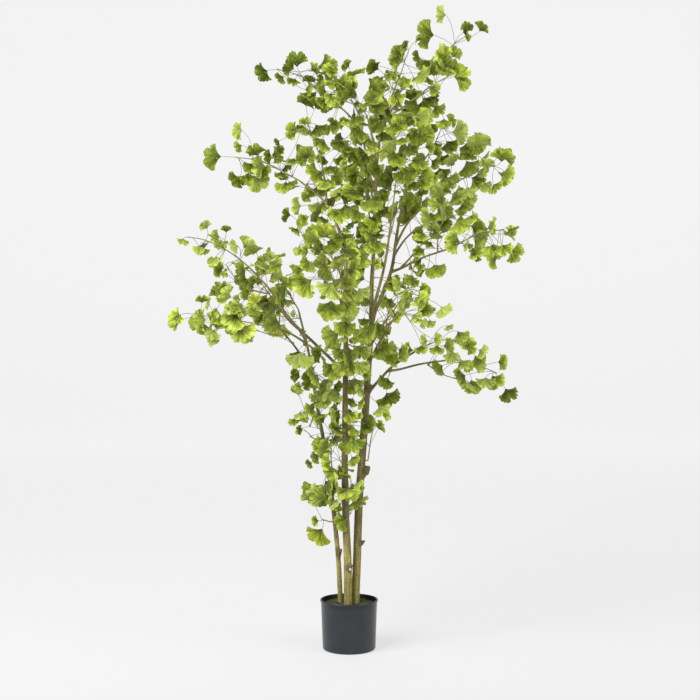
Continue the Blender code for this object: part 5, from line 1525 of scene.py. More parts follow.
def new_material(name, roughness, gloss=0.5):
    """A material, its node tree and its shader."""
    material = bpy.data.materials.new(name)
    material.use_nodes = True
    shader = material.node_tree.nodes["Principled BSDF"]
    shader.inputs["Roughness"].default_value = roughness
    shader.inputs["Specular IOR Level"].default_value = gloss
    return material, material.node_tree, shader


def opaque(colour):
    """A colour as a node takes it: another node's output, or three parts and a full alpha."""
    return colour if isinstance(colour, bpy.types.NodeSocket) else (*colour, 1)


def mixed(tree, factor, first, second):
    """The colour between two others, by a factor."""
    colours = {0: factor, 6: opaque(first), 7: opaque(second)}
    return put(tree, "ShaderNodeMix", colours, data_type="RGBA").outputs[2]


def layered(tree, base, *layers):
    """A colour with others laid over it in turn, each by a factor of its own."""
    for factor, colour in layers:
        base = mixed(tree, factor, base, colour)
    return base


def ranged(tree, value, low, high, to_low=0.0, to_high=1.0, smooth=False):
    """A value carried from one range to another, held at its ends."""
    return put(
        tree, "ShaderNodeMapRange",
        {"Value": value, "From Min": low, "From Max": high, "To Min": to_low, "To Max": to_high},
        interpolation_type="SMOOTHSTEP" if smooth else "LINEAR").outputs[0]


def maths(tree, operation, first, second):
    return put(tree, "ShaderNodeMath", {0: first, 1: second}, operation=operation).outputs[0]


def sum_of(tree, first, second):
    return maths(tree, "ADD", first, second)


def product_of(tree, first, second):
    return maths(tree, "MULTIPLY", first, second)


def away_from(tree, place, middle):
    """How far a place is from a point."""
    ends = {0: place, 1: middle}
    return put(tree, "ShaderNodeVectorMath", ends, operation="DISTANCE").outputs["Value"]


def cloudy(tree, vector, scale, detail=3.0, stretch=(1, 1, 1), roughness=0.55):
    """Noise over a vector that may be stretched."""
    fitted = put(tree, "ShaderNodeMapping", {"Vector": vector, "Scale": stretch}).outputs[0]
    return put(
        tree, "ShaderNodeTexNoise",
        {"Vector": fitted, "Scale": scale, "Detail": detail, "Roughness": roughness}).outputs[0]


def painted(tree, shader, colour, roughness, height, strength, distance):
    """Give a shader its colour and its roughness, and a bump of some height."""
    bump = put(
        tree, "ShaderNodeBump", {"Height": height, "Strength": strength, "Distance": distance})
    tree.links.new(colour, shader.inputs["Base Color"])
    tree.links.new(roughness, shader.inputs["Roughness"])
    tree.links.new(bump.outputs[0], shader.inputs["Normal"])


def object_place(tree):
    return put(tree, "ShaderNodeTexCoord").outputs["Object"]


def attribute(tree, name):
    return put(tree, "ShaderNodeAttribute", attribute_name=name)


# The bark's one round scar
SCAR = (0.0040, -0.0325, 0.2270)


@functools.cache
def leaf_material():
    """Ginkgo blades: dark at the heart, fresher to the margin, with radial ribs and pale veins; dim
    leaves are darker and bright ones fresher, by a brightness that holds painted light and shade.
    """
    colours = bpy.context.scene.ginkgo_leaf
    material, tree, shader = new_material("ginkgo_leaf", 0.5, 0.10)
    fan = put(tree, "ShaderNodeSeparateXYZ", {0: attribute(tree, "fan").outputs["Vector"]})
    share, part, under = fan.outputs
    tone = attribute(tree, "tone").outputs["Fac"]
    strewn = product_of(tree, tone, STREWN_BY_TONE)
    along = put(tree, "ShaderNodeCombineXYZ", {"X": share, "Y": part, "Z": strewn}).outputs[0]
    veins = cloudy(tree, along, 1.0, 2.0, (32, 1.2, 1))
    ribs = cloudy(tree, along, 1.0, 1.0, (10, 0.7, 1))
    patches = cloudy(tree, along, 1.0, 2.0, (2.4, 2.2, 1))
    sides = cloudy(tree, along, 1.0, 0.0, (1.2, 0.9, 1))
    out = sum_of(tree, part, ranged(tree, patches, 0.3, 0.7, -0.28, 0.28))
    blade = layered(
        tree, colours.heart,
        (ranged(tree, out, 0.12, 0.78, smooth=True), colours.blade),
        (ranged(tree, out, 0.60, 1.15, smooth=True), colours.margin),
        (ranged(tree, sides, 0.50, 0.70, 0, 0.50), colours.sunny),
        # Bright leaves turn fresh green; their brightness holds painted shade near the crown's axis
        # and top, and painted light low down
        (ranged(tree, tone, 0.70, 1.0, 0, 0.5), colours.fresh),
        (ranged(tree, ribs, 0.40, 0.58, 0.42, 0), colours.heart),
        (ranged(tree, veins, 0.54, 0.68, 0, 0.42), colours.vein),
        (ranged(tree, veins, 0.32, 0.46, 0.5, 0), colours.heart),
        # Dim leaves darken towards the heart colour: partly at random, partly painted shade near the
        # crown's axis and towards its top
        (ranged(tree, tone, 0.0, 0.50, 0.70, 0), colours.heart),
        (product_of(tree, under, 0.30), colours.underside))
    stalk = mixed(tree, ranged(tree, part, -1.0, -0.1), colours.stalk_foot, colours.stalk)
    whole = mixed(tree, ranged(tree, part, -0.03, 0.10), stalk, blade)
    roughness = ranged(tree, veins, 0.3, 0.7, 0.38, 0.58)
    painted(tree, shader, whole, roughness, sum_of(tree, veins, ribs), 1.0, 0.0012)
    return material


@functools.cache
def bark_material():
    """Olive-tan bark, speckled low down, brown and darkened by painted shade higher up, with one
    pale round scar.
    """
    colours = bpy.context.scene.ginkgo_bark
    material, tree, shader = new_material("stem_bark", 0.75, 0.25)
    place = object_place(tree)
    height = put(tree, "ShaderNodeSeparateXYZ", {0: place}).outputs["Z"]
    fleck = cloudy(tree, place, 1.0, 3.0, (470, 470, 300))
    cloud = cloudy(tree, place, 1.0, 3.0, (45, 45, 11))
    streak = cloudy(tree, place, 1.0, 4.0, (420, 420, 26))
    low = mixed(tree, ranged(tree, cloud, 0.35, 0.65), colours.tan, colours.olive)
    # Bark higher up: browner, and darker with painted shade under the crown
    high = mixed(tree, ranged(tree, cloud, 0.38, 0.62), colours.brown, colours.umber)
    up = sum_of(tree, height, ranged(tree, cloud, 0.3, 0.7, -0.05, 0.05))
    limb = mixed(tree, ranged(tree, up, 0.80, 1.05, 0, 0.75), high, colours.limb)
    flecks = product_of(
        tree, ranged(tree, fleck, 0.47, 0.61), ranged(tree, up, 0.3, 0.8, 0.75, 0.45))
    grains = product_of(
        tree, ranged(tree, streak, 0.50, 0.62), ranged(tree, up, 0.3, 0.8, 0.55, 0.5))
    knots = [middle for _, middle, _ in KNOTS]
    # Darker bark round each knot and along the stub
    knot_darkening = [
        (ranged(tree, away_from(tree, place, knot), 0.009, 0.018, 0.80, 0, True), colours.knot)
        for knot in (*knots, *STUB_POINTS[1:])]
    ragged = ranged(tree, fleck, 0.3, 0.7, -0.001, 0.001)
    from_scar = sum_of(tree, away_from(tree, place, SCAR), ragged)
    bark = layered(
        tree, low,
        # From about 0.3 m up the bark turns browner and darker: partly its own colour, partly
        # painted shade under the crown
        (ranged(tree, up, 0.24, 0.36, smooth=True), limb),
        (flecks, colours.fleck),
        (grains, colours.fleck),
        *knot_darkening,
        (ranged(tree, from_scar, 0.0070, 0.0100, 0.8, 0), colours.fleck),
        (ranged(tree, from_scar, 0.0036, 0.0052, 1, 0), colours.scar))
    roughness = ranged(tree, fleck, 0.3, 0.7, 0.62, 0.88)
    painted(tree, shader, bark, roughness, sum_of(tree, fleck, streak), 0.6, 0.0008)
    return material


@functools.cache
def twig_material():
    """Thin young wood, brown with a green cast and pale lenticels."""
    colours = bpy.context.scene.ginkgo_bark
    material, tree, shader = new_material("twig_bark", 0.7, 0.3)
    place = object_place(tree)
    cloud = cloudy(tree, place, 30.0)
    fleck = cloudy(tree, place, 700.0, 2.0)
    bark = layered(
        tree, colours.twig,
        (ranged(tree, cloud, 0.35, 0.65), colours.twig_green),
        (ranged(tree, fleck, 0.58, 0.70, 0, 0.5), colours.tan))
    painted(tree, shader, bark, ranged(tree, fleck, 0.3, 0.7, 0.6, 0.8), fleck, 0.4, 0.0003)
    return material


@functools.cache
def pot_material():
    """Satin charcoal plastic with a fine moulded grain and faint scuffs; painted shade on the inner
    wall and on the less glossy top of the lip.
    """
    colours = bpy.context.scene.ginkgo_pot
    material, tree, shader = new_material("pot_plastic", 0.45)
    place = object_place(tree)
    grain = cloudy(tree, place, 1600.0, 2.0)
    cloud = cloudy(tree, place, 22.0, 4.0)
    scuff = cloudy(tree, place, 1.0, 5.0, (60, 60, 240))
    across, back, height = put(tree, "ShaderNodeSeparateXYZ", {0: place}).outputs
    level = put(tree, "ShaderNodeCombineXYZ", {"X": across, "Y": back}).outputs[0]
    radius = away_from(tree, level, (0, 0, 0))
    # Painted shade: the inner wall above the soil is coloured near-black
    within = ranged(tree, radius, LIP_RADIUS, MOUTH_RADIUS - WALL / 2, 0, 0.9)
    above = ranged(tree, height, SOIL_LEVEL - 2 * WALL, SOIL_LEVEL)
    # Painted shade on the top of the lip, which also reflects less
    on_top = ranged(tree, height, POT_HEIGHT - 2 * LIP_SOFTENING, POT_HEIGHT - LIP_SOFTENING / 2)
    inwards = ranged(tree, radius, LIP_RADIUS - LIP_SOFTENING / 2, LIP_RADIUS - 2 * LIP_SOFTENING)
    dull_shaded_lip = product_of(tree, on_top, inwards)
    plastic = layered(
        tree, colours.plastic,
        (ranged(tree, cloud, 0.3, 0.7), colours.plastic_worn),
        (ranged(tree, scuff, 0.66, 0.76, 0, 0.10), colours.dust),
        # Painted shade: near-black on the inner wall and on the lip's top
        (product_of(tree, within, above), colours.inside),
        (dull_shaded_lip, colours.inside))
    tree.links.new(ranged(tree, dull_shaded_lip, 0, 1, 0.5, 0.05), shader.inputs["Specular IOR Level"])
    painted(tree, shader, plastic, ranged(tree, cloud, 0.3, 0.7, 0.26, 0.34), grain, 0.08, 0.0002)
    return material


@functools.cache
def soil_material():
    """Dark potting soil with lighter crumbs and damp patches."""
    colours = bpy.context.scene.ginkgo_pot
    material, tree, shader = new_material("soil", 0.95)
    place = object_place(tree)
    crumb = cloudy(tree, place, 260.0, 5.0)
    damp = cloudy(tree, place, 38.0, 3.0)
    soil = layered(
        tree, colours.soil,
        (ranged(tree, crumb, 0.35, 0.68), colours.crumb),
        (ranged(tree, damp, 0.42, 0.62, 0, 0.8), colours.moss_dark))
    painted(tree, shader, soil, ranged(tree, damp, 0.3, 0.7, 0.80, 0.97), crumb, 0.8, 0.0015)
    return material


@functools.cache
def moss_material():
    """Cushions of olive moss, greener at the tips of its blades."""
    colours = bpy.context.scene.ginkgo_pot
    material, tree, shader = new_material("moss", 0.9)
    place = object_place(tree)
    fine = cloudy(tree, place, 500.0, 3.0)
    cloud = cloudy(tree, place, 60.0, 2.0)
    moss = layered(
        tree, colours.moss_dark,
        (ranged(tree, fine, 0.35, 0.65), colours.moss),
        (ranged(tree, cloud, 0.35, 0.65, 0, 0.5), colours.moss_dark))
    painted(tree, shader, moss, ranged(tree, fine, 0.3, 0.7, 0.82, 0.95), fine, 0.5, 0.0008)
    return material


# The pot, the soil and what lies on it, in metres
FINE_TURNING_STEPS = 128
LIP_ARC_STEPS = 5
UNDERSIDE_RECESS = 0.0012
UNDERSIDE_RIM = 0.007
SOIL_RINGS = 36
SOIL_SPOKES = 96
SOIL_ROUGHNESS = 0.0014
SOIL_LUMP = 0.011
SOIL_GRAIN = SOIL_LUMP / 4
SOIL_GRAIN_SHARE = 0.45
CRUMB_PATTERNS = 6
CRUMB_RAGGED = (0.6, 1.15)
CRUMB_FLATNESS = 0.7
CRUMB_SIZES = (0.0008, 0.0026)
CRUMBS_REACH = 0.072

# Moss: cushions as (place, radius, height), and tufts of short blades as (width, height)
MOSS_CUSHIONS = (
    ((-0.0410, -0.0040), 0.0130, 0.0040), ((-0.0260, 0.0330), 0.0170, 0.0045),
    ((0.0450, -0.0150), 0.0100, 0.0030), ((0.0340, 0.0400), 0.0140, 0.0036),
)
MOSS_REACH = 0.074
CUSHION_SPOKES = 20
CUSHION_RINGS = 10
CUSHION_RAGGED = 0.22
CUSHION_LUMPS = 1.7
CUSHIONS_APART = 90
ORDER_ALONG = Vector((1, 0.37, 0.11))
MOSS_BLADE = (0.0007, 0.0024)
MOSS_BLADES = 3
MOSS_LEAN = 0.6
MOSS_SIZES = (0.6, 1.3)

# What is strewn lies where a surface faces up, by the height of its normal, and leans at random
FACES_UP = 0.2
STREWN_LEAN = 0.7


def fine_pot_profile():
    """The pot's outline with its lip fully rounded and its underside recessed a little."""
    inner_mouth = MOUTH_RADIUS - WALL
    inner_base = BASE_RADIUS - WALL
    profile = [(0, FLOOR), (inner_base - FLOOR_CORNER, FLOOR)]
    profile.append((inner_base, FLOOR + FLOOR_CORNER))
    soft = 2 * LIP_SOFTENING
    lip_centres = ((inner_mouth + soft, math.pi, math.pi / 2), (LIP_RADIUS - soft, math.pi / 2, 0))
    for centre, start, finish in lip_centres:
        for step in range(LIP_ARC_STEPS + 1):
            angle = start + (finish - start) * step / LIP_ARC_STEPS
            profile.append(
                (centre + soft * math.cos(angle), POT_HEIGHT - soft + soft * math.sin(angle)))
    profile += [
        (LIP_RADIUS, POT_HEIGHT - LIP_HEIGHT + LIP_SOFTENING / 2),
        (LIP_RADIUS - LIP_SOFTENING / 2, POT_HEIGHT - LIP_HEIGHT),
        (MOUTH_RADIUS + LIP_SOFTENING / 2, POT_HEIGHT - LIP_HEIGHT - LIP_SOFTENING / 2),
        (MOUTH_RADIUS, POT_HEIGHT - LIP_HEIGHT - LIP_FILLET),
    ]
    steps = 2 * ROUNDING_STEPS
    for step in range(steps + 1):
        angle = math.pi / 2 * step / steps
        profile.append((
            BASE_RADIUS - BASE_ROUNDING * (1 - math.cos(angle)),
            BASE_ROUNDING * (1 - math.sin(angle))))
    rim = BASE_RADIUS - BASE_ROUNDING - UNDERSIDE_RIM
    profile += [(rim, 0), (rim - UNDERSIDE_RECESS, UNDERSIDE_RECESS), (0, UNDERSIDE_RECESS)]
    return profile


def turned(name, profile):
    """A profile turned round the upright axis, as a plain mesh."""
    points = [(radius, 0, height) for radius, height in profile]
    item = shown_object(name, plain_mesh(name, points, line_edges(0, len(points) - 1)))
    screw = item.modifiers.new("turning", "SCREW")
    screw.steps = screw.render_steps = FINE_TURNING_STEPS
    screw.use_merge_vertices = True
    screw.merge_threshold = MERGE_DISTANCE
    item.data = evaluated_mesh(item)
    item.modifiers.clear()
    item.data.shade_smooth()
    item.data.set_sharp_from_angle(angle=SHARP_ANGLE)
    return item


def soil_height(x, y):
    """The height of the soil's top: a low crown with lumps of two sizes."""
    crown = SOIL_CROWN * max(0, 1 - math.hypot(x, y) / MOUTH_RADIUS)
    coarse = noise.noise(Vector((x, y, 0)) / SOIL_LUMP)
    fine = noise.noise(Vector((x, y, 1)) / SOIL_GRAIN)
    return SOIL_LEVEL + crown + SOIL_ROUGHNESS * (coarse + SOIL_GRAIN_SHARE * fine)


def soil_plug(name):
    """The soil as one closed body: a lumpy top, the wall within the pot, and its underside."""
    slope = (MOUTH_RADIUS - BASE_RADIUS) / (POT_HEIGHT - FLOOR - FLOOR_CORNER)
    inner_base = BASE_RADIUS - WALL - GAP
    edge = inner_base + slope * (SOIL_LEVEL - FLOOR - FLOOR_CORNER)
    work = bmesh.new()
    rings = []
    spokes = [math.tau * spoke / SOIL_SPOKES for spoke in range(SOIL_SPOKES)]
    for ring in range(1, SOIL_RINGS + 1):
        radius = edge * ring / SOIL_RINGS
        places = [(radius * math.cos(angle), radius * math.sin(angle)) for angle in spokes]
        rings.append([work.verts.new((x, y, soil_height(x, y))) for x, y in places])
    foot = ((inner_base, FLOOR + FLOOR_CORNER), (inner_base - FLOOR_CORNER, FLOOR + GAP))
    for radius, height in foot:
        rings.append([
            work.verts.new((radius * math.cos(angle), radius * math.sin(angle), height))
            for angle in spokes])
    top = work.verts.new((0, 0, soil_height(0, 0)))
    bottom = work.verts.new((0, 0, FLOOR + GAP))
    for spoke in range(SOIL_SPOKES):
        following = (spoke + 1) % SOIL_SPOKES
        work.faces.new((top, rings[0][spoke], rings[0][following]))
        work.faces.new((bottom, rings[-1][following], rings[-1][spoke]))
        for inner, outer in zip(rings, rings[1:]):
            work.faces.new((inner[spoke], outer[spoke], outer[following], inner[following]))
    mesh = finished_mesh(name, work)
    mesh.shade_smooth()
    return shown_object(name, mesh)


def crumb_patterns():
    """Small angular crumbs to strew over the soil."""
    patterns = bpy.data.collections.new("crumb_patterns")
    chance = random.Random(SEED)
    for number in range(CRUMB_PATTERNS):
        work = bmesh.new()
        bmesh.ops.create_icosphere(work, subdivisions=1, radius=1)
        for corner in work.verts:
            corner.co *= chance.uniform(*CRUMB_RAGGED)
            corner.co.z *= CRUMB_FLATNESS
        mesh = finished_mesh(f"crumb_{number}", work)
        patterns.objects.link(bpy.data.objects.new(mesh.name, mesh))
    return patterns


def moss_patterns():
    """One tuft of short moss blades, each a slim three-sided spike."""
    patterns = bpy.data.collections.new("moss_patterns")
    width, height = MOSS_BLADE
    points, faces = [], []
    for blade in range(MOSS_BLADES):
        turn = math.tau * blade / MOSS_BLADES
        lean = Vector((math.cos(turn), math.sin(turn), 0))
        first = len(points)
        for corner in range(3):
            angle = turn + math.tau * corner / 3
            points.append(width * Vector((math.cos(angle), math.sin(angle), 0)) / 2)
        points.append(height * (UP + MOSS_LEAN * lean))
        faces += [(first, first + 1, first + 3), (first + 1, first + 2, first + 3)]
        faces += [(first + 2, first, first + 3), (first + 2, first + 1, first)]
    mesh = plain_mesh("moss_tuft", points, faces=faces)
    patterns.objects.link(bpy.data.objects.new(mesh.name, mesh))
    return patterns


def cushion_base(name, places):
    """Low mounds of moss on the soil, as the surface that the tufts stand on."""
    work = bmesh.new()
    for (x, y), radius, height in places:
        mound = bmesh.ops.create_uvsphere(
            work, u_segments=CUSHION_SPOKES, v_segments=CUSHION_RINGS, radius=1)
        middle = Vector((x, y, 0))
        for corner in mound["verts"]:
            ragged = 1 + CUSHION_RAGGED * noise.noise(
                corner.co * CUSHION_LUMPS + middle * CUSHIONS_APART)
            across = Vector((corner.co.x, corner.co.y, 0)) * radius * ragged
            lift = height * corner.co.z * (ragged if corner.co.z > 0 else 1)
            place = middle + across
            corner.co = Vector((place.x, place.y, soil_height(place.x, place.y) + lift))
    # A sphere's corners and faces come in an order that changes from run to run
    work.verts.sort(key=lambda corner: corner.co.dot(ORDER_ALONG))
    work.faces.sort(key=lambda face: face.calc_center_median().dot(ORDER_ALONG))
    mesh = finished_mesh(name, work)
    mesh.shade_smooth()
    return shown_object(name, mesh)


@functools.cache
def strewing_tree():
    """Copies of the patterns strewn over the upward faces of a surface, turned at random."""
    tree, given = new_tree("strewn", (
        ("Patterns", "Collection", None), ("Density", "Float", 60000.0), ("Seed", "Int", 1),
        ("Smallest", "Float", 1.0), ("Largest", "Float", 1.0), ("Limit", "Float", 1.0),
        ("Keep Surface", "Bool", False), ("Material", "Material", None)))
    normal = put(tree, "GeometryNodeInputNormal")
    rise = put(tree, "ShaderNodeSeparateXYZ", {0: normal.outputs[0]}).outputs["Z"]
    upward = put(
        tree, "FunctionNodeCompare", {"A": rise, "B": FACES_UP}, operation="GREATER_THAN")
    place = put(tree, "GeometryNodeInputPosition").outputs[0]
    flat = put(tree, "ShaderNodeVectorMath", {0: place, 1: (1, 1, 0)}, operation="MULTIPLY")
    away = put(tree, "ShaderNodeVectorMath", {0: flat.outputs[0]}, operation="LENGTH")
    within = put(
        tree, "FunctionNodeCompare", {"A": away.outputs["Value"], "B": given["Limit"]},
        operation="LESS_THAN")
    both = put(tree, "FunctionNodeBooleanMath", {0: upward.outputs[0], 1: within.outputs[0]})
    strewn = put(
        tree, "GeometryNodeDistributePointsOnFaces",
        {"Mesh": given["Geometry"], "Selection": both.outputs[0], "Density": given["Density"],
         "Seed": given["Seed"]})
    spin = put(
        tree, "FunctionNodeRandomValue",
        {0: (0, 0, 0), 1: (STREWN_LEAN, STREWN_LEAN, math.tau), "Seed": given["Seed"]},
        data_type="FLOAT_VECTOR")
    size = put(
        tree, "FunctionNodeRandomValue",
        {2: given["Smallest"], 3: given["Largest"], "Seed": given["Seed"]}, data_type="FLOAT")
    choice = put(
        tree, "GeometryNodeCollectionInfo",
        {"Collection": given["Patterns"], "Separate Children": True, "Reset Children": True})
    turned_over = put(
        tree, "FunctionNodeRotateRotation",
        {"Rotation": strewn.outputs["Rotation"], "Rotate By": spin.outputs[0]},
        rotation_space="LOCAL")
    copies = put(
        tree, "GeometryNodeInstanceOnPoints",
        {"Points": strewn.outputs[0], "Instance": choice.outputs[0], "Pick Instance": True,
         "Rotation": turned_over.outputs[0], "Scale": size.outputs[1]})
    kept = put(
        tree, "GeometryNodeSwitch",
        {"Switch": given["Keep Surface"], "True": given["Geometry"]}, input_type="GEOMETRY")
    together = put(tree, "GeometryNodeJoinGeometry")
    tree.links.new(kept.outputs[0], together.inputs[0])
    tree.links.new(copies.outputs[0], together.inputs[0])
    return close_tree(tree, together.outputs[0], given["Material"])


def drop_patterns(patterns):
    """Remove a collection of patterns once its copies are real meshes."""
    for item in list(patterns.objects):
        bpy.data.objects.remove(item, do_unlink=True)
    bpy.data.collections.remove(patterns)


def finish_piece(item, material, slot, *nodes):
    """Give a piece its material, let it ride, and hide the parts that it stands for; the slot is not
    used.
    """
    item.data.materials.clear()
    item.data.materials.append(material)
    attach(item, "root")
    if nodes:
        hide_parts(*nodes)


def colour(name, description, value):
    return FloatVectorProperty(
        name=name, description=description, default=value, size=3, min=0, max=1, subtype="COLOR")


def measure(name, description, value, least, most, precision=3):
    return FloatProperty(
        name=name, description=description, default=value, min=least, max=most,
        precision=precision, unit="LENGTH")


def amount(name, description, value, most, **more):
    return FloatProperty(
        name=name, description=description, default=value, min=0, max=most, **more)


def side_count(name, description, value, most):
    return IntProperty(name=name, description=description, default=value, min=3, max=most)


class GinkgoLeafSettings(bpy.types.PropertyGroup):
    thickness: measure(
        "Blade Thickness", "Thickness of a leaf's blade", 0.0004, 0.0001, 0.002, 5)
    tooth: amount(
        "Scallop Depth", "Depth of the margin's scallops, as a part of the length", 0.035, 0.2,
        subtype="FACTOR")
    stalk_radius: measure("Stalk Radius", "Radius of a leaf's stalk", 0.00065, 0.0002, 0.003, 5)
    stalk_sides: side_count("Stalk Sides", "Sides of a leaf's stalk", 5, 12)
    heart: colour("Heart", "Colour near the neck and in the veins", (0.030, 0.054, 0.001))
    blade: colour("Blade", "Colour of the blade's middle", (0.212, 0.284, 0.004))
    margin: colour("Margin", "Colour of the blade's outer part", (0.560, 0.645, 0.090))
    sunny: colour("Sunny Side", "Yellower colour of one part of a blade", (0.490, 0.525, 0.030))
    vein: colour("Veins", "Colour of the pale veins", (0.660, 0.740, 0.300))
    fresh: colour("Fresh Leaf", "Colour of young leaves", (0.590, 0.710, 0.190))
    underside: colour("Underside", "Colour of the blade's back", (0.380, 0.480, 0.100))
    stalk: colour("Stalk", "Colour of the stalk near the blade", (0.170, 0.210, 0.055))
    stalk_foot: colour("Stalk Foot", "Colour of the stalk at the twig", (0.150, 0.125, 0.055))


class GinkgoBarkSettings(bpy.types.PropertyGroup):
    stem_sides: side_count("Stem Sides", "Sides of the three stems", 22, 64)
    branch_sides: side_count("Branch Sides", "Sides of the branches", 10, 32)
    twig_sides: side_count("Twig Sides", "Sides of the twigs", 7, 16)
    relief: measure("Bark Relief", "Height of the bark's relief on the stems", 0.0012, 0, 0.01, 5)
    relief_size: measure("Relief Size", "Width of the bark's lumps", 0.009, 0.001, 0.1, 4)
    tan: colour("Tan", "Lighter bark on the lower stems", (0.395, 0.337, 0.103))
    olive: colour("Olive", "Greenish bark on the lower stems", (0.300, 0.256, 0.067))
    # Brown and umber hold the bark's browner colour higher up together with painted shade under the
    # crown
    brown: colour("Brown", "Darker bark among the leaves", (0.115, 0.092, 0.036))
    umber: colour("Umber", "Lighter bark among the leaves", (0.265, 0.226, 0.076))
    limb: colour("Limb", "Bark of the branches in the crown", (0.350, 0.310, 0.105))
    knot: colour("Knot", "Dark bark of the knots and the stub", (0.100, 0.070, 0.038))
    scar: colour("Scar", "Bare wood in the round scar", (0.480, 0.430, 0.330))
    fleck: colour("Flecks", "Dark flecks in the bark", (0.060, 0.048, 0.020))
    twig: colour("Twig", "Brown of the twigs", (0.225, 0.170, 0.080))
    twig_green: colour("Green Twig", "Green cast of the twigs", (0.250, 0.250, 0.080))


class GinkgoPotSettings(bpy.types.PropertyGroup):
    crumbs: amount("Crumb Density", "Soil crumbs on each square metre", 52000, 200000)
    tufts: amount("Moss Density", "Moss tufts on each square metre of cushion", 420000, 1000000)
    plastic: colour("Plastic", "Colour of the pot", (0.010, 0.013, 0.0165))
    plastic_worn: colour("Worn Plastic", "Colour where the pot is handled", (0.016, 0.021, 0.026))
    # Painted shade: the near-black of the pot's inner wall and of the top of its lip
    inside: colour("Inside", "Colour of the pot's inner wall", (0.004, 0.004, 0.005))
    dust: colour("Dust", "Colour of dust on the pot", (0.150, 0.150, 0.145))
    soil: colour("Soil", "Colour of the soil", (0.022, 0.019, 0.012))
    crumb: colour("Crumbs", "Colour of the lighter crumbs", (0.085, 0.072, 0.040))
    moss: colour("Moss", "Colour of the moss tips", (0.160, 0.190, 0.050))
    moss_dark: colour("Dark Moss", "Colour of the moss in shade", (0.050, 0.058, 0.022))


class GinkgoStageSettings(bpy.types.PropertyGroup):
    camera_distance: measure(
        "Camera Distance", "From the pot's axis to the camera", CAMERA_DISTANCE, 1, 20)
    camera_height: measure("Camera Height", "Height of the level camera", CAMERA_HEIGHT, 0, 5)
    camera_across: measure(
        "Camera Across", "How far the camera stands to the right", CAMERA_ACROSS, -5, 5)
    lens: FloatProperty(
        name="Lens", description="Focal length in millimetres, on a 36 mm sensor",
        default=61.714, min=10, max=300, unit="CAMERA")
    key_power: amount("Key Light", "Power of the light on the left", 285, 2000, unit="POWER")
    fill_power: amount("Fill Light", "Power of the light on the right", 95, 2000, unit="POWER")
    surround: amount("Surround", "Brightness of the white room round the stage", 0.35, 5)
    floor: colour("Floor", "Colour of the floor and the backdrop", (0.20, 0.20, 0.20))
    glow: amount("Floor Glow", "Light that the floor gives off near the pot", 0.57, 2)
    far_glow: amount("Backdrop Glow", "Light that the backdrop gives off", 0.757, 2)


class GINKGO_OT_pot(bpy.types.Operator):
    """Turn the nursery pot with its rounded lip"""
    bl_idname = "ginkgo.pot"
    bl_label = "Make Pot"

    def execute(self, context):
        pot = turned("pot_shell", fine_pot_profile())
        finish_piece(pot, pot_material(), "pot_plastic", "pot")
        return {"FINISHED"}


class GINKGO_OT_soil(bpy.types.Operator):
    """Fill the pot with soil, strewn with crumbs and cushions of moss"""
    bl_idname = "ginkgo.soil"
    bl_label = "Make Soil"

    def execute(self, context):
        settings = context.scene.ginkgo_pot
        soil = soil_plug("soil_plug")
        crumbs = shown_object("soil_crumbs", soil.data.copy())
        patterns = crumb_patterns()
        grow(crumbs, strewing_tree(), {
            "Patterns": patterns, "Density": settings.crumbs, "Seed": SEED,
            "Smallest": CRUMB_SIZES[0], "Largest": CRUMB_SIZES[1], "Limit": CRUMBS_REACH,
            "Keep Surface": False, "Material": soil_material()})
        drop_patterns(patterns)
        moss = cushion_base("moss_cushions", MOSS_CUSHIONS)
        patterns = moss_patterns()
        grow(moss, strewing_tree(), {
            "Patterns": patterns, "Density": settings.tufts, "Seed": SEED,
            "Smallest": MOSS_SIZES[0], "Largest": MOSS_SIZES[1], "Limit": MOSS_REACH,
            "Keep Surface": True, "Material": moss_material()})
        drop_patterns(patterns)
        finish_piece(soil, soil_material(), "soil", "soil")
        finish_piece(crumbs, soil_material(), "soil")
        finish_piece(moss, moss_material(), "soil")
        return {"FINISHED"}


class GINKGO_OT_stems(bpy.types.Operator):
    """Grow the three stems with their branches, knots and stub, each fused in one body"""
    bl_idname = "ginkgo.stems"
    bl_label = "Make Stems"

    def execute(self, context):
        settings = context.scene.ginkgo_bark
        limbs, _ = grown_plan()
        rough = {"Relief": settings.relief, "Relief Size": settings.relief_size,
                 "Sides": settings.stem_sides, "Material": bark_material()}
        for stem in (branch for branch in BRANCHES if branch.parent is None):
            base = strand_base(f"{stem.name}_bark", [fine_limb(stem, limbs)])
            grow(base, tube_tree(), rough)
            additions = [
                grow(strand_base(f"lump_{number}", [lump]), tube_tree(), rough)
                for number, lump in enumerate(lumps_on(stem.name, limbs))]
            additions += [
                grow(strand_base(branch.name, [fine_limb(branch, limbs)]), tube_tree(),
                     {**rough, "Relief": settings.relief / BRANCHES_FLATTER,
                      "Sides": settings.branch_sides})
                for branch in BRANCHES if branch.parent and stem_of(branch.name) == stem.name]
            fuse(base, additions)
            base.data.shade_smooth()
            finish_piece(base, bark_material(), "stem_bark", stem.name)
        return {"FINISHED"}


class GINKGO_OT_twigs(bpy.types.Operator):
    """Grow the twigs and leaf spurs of every limb"""
    bl_idname = "ginkgo.twigs"
    bl_label = "Make Twigs"

    def execute(self, context):
        settings = context.scene.ginkgo_bark
        for name, held in grown_plan()[1].items():
            twigs = strand_base(f"{name}_twigs", held.strands)
            grow(twigs, tube_tree(), {
                "Sides": settings.twig_sides, "Relief": settings.relief / TWIGS_FLATTER,
                "Relief Size": settings.relief_size / TWIGS_FINER,
                "Material": twig_material()})
            finish_piece(twigs, twig_material(), "stem_bark")
        return {"FINISHED"}


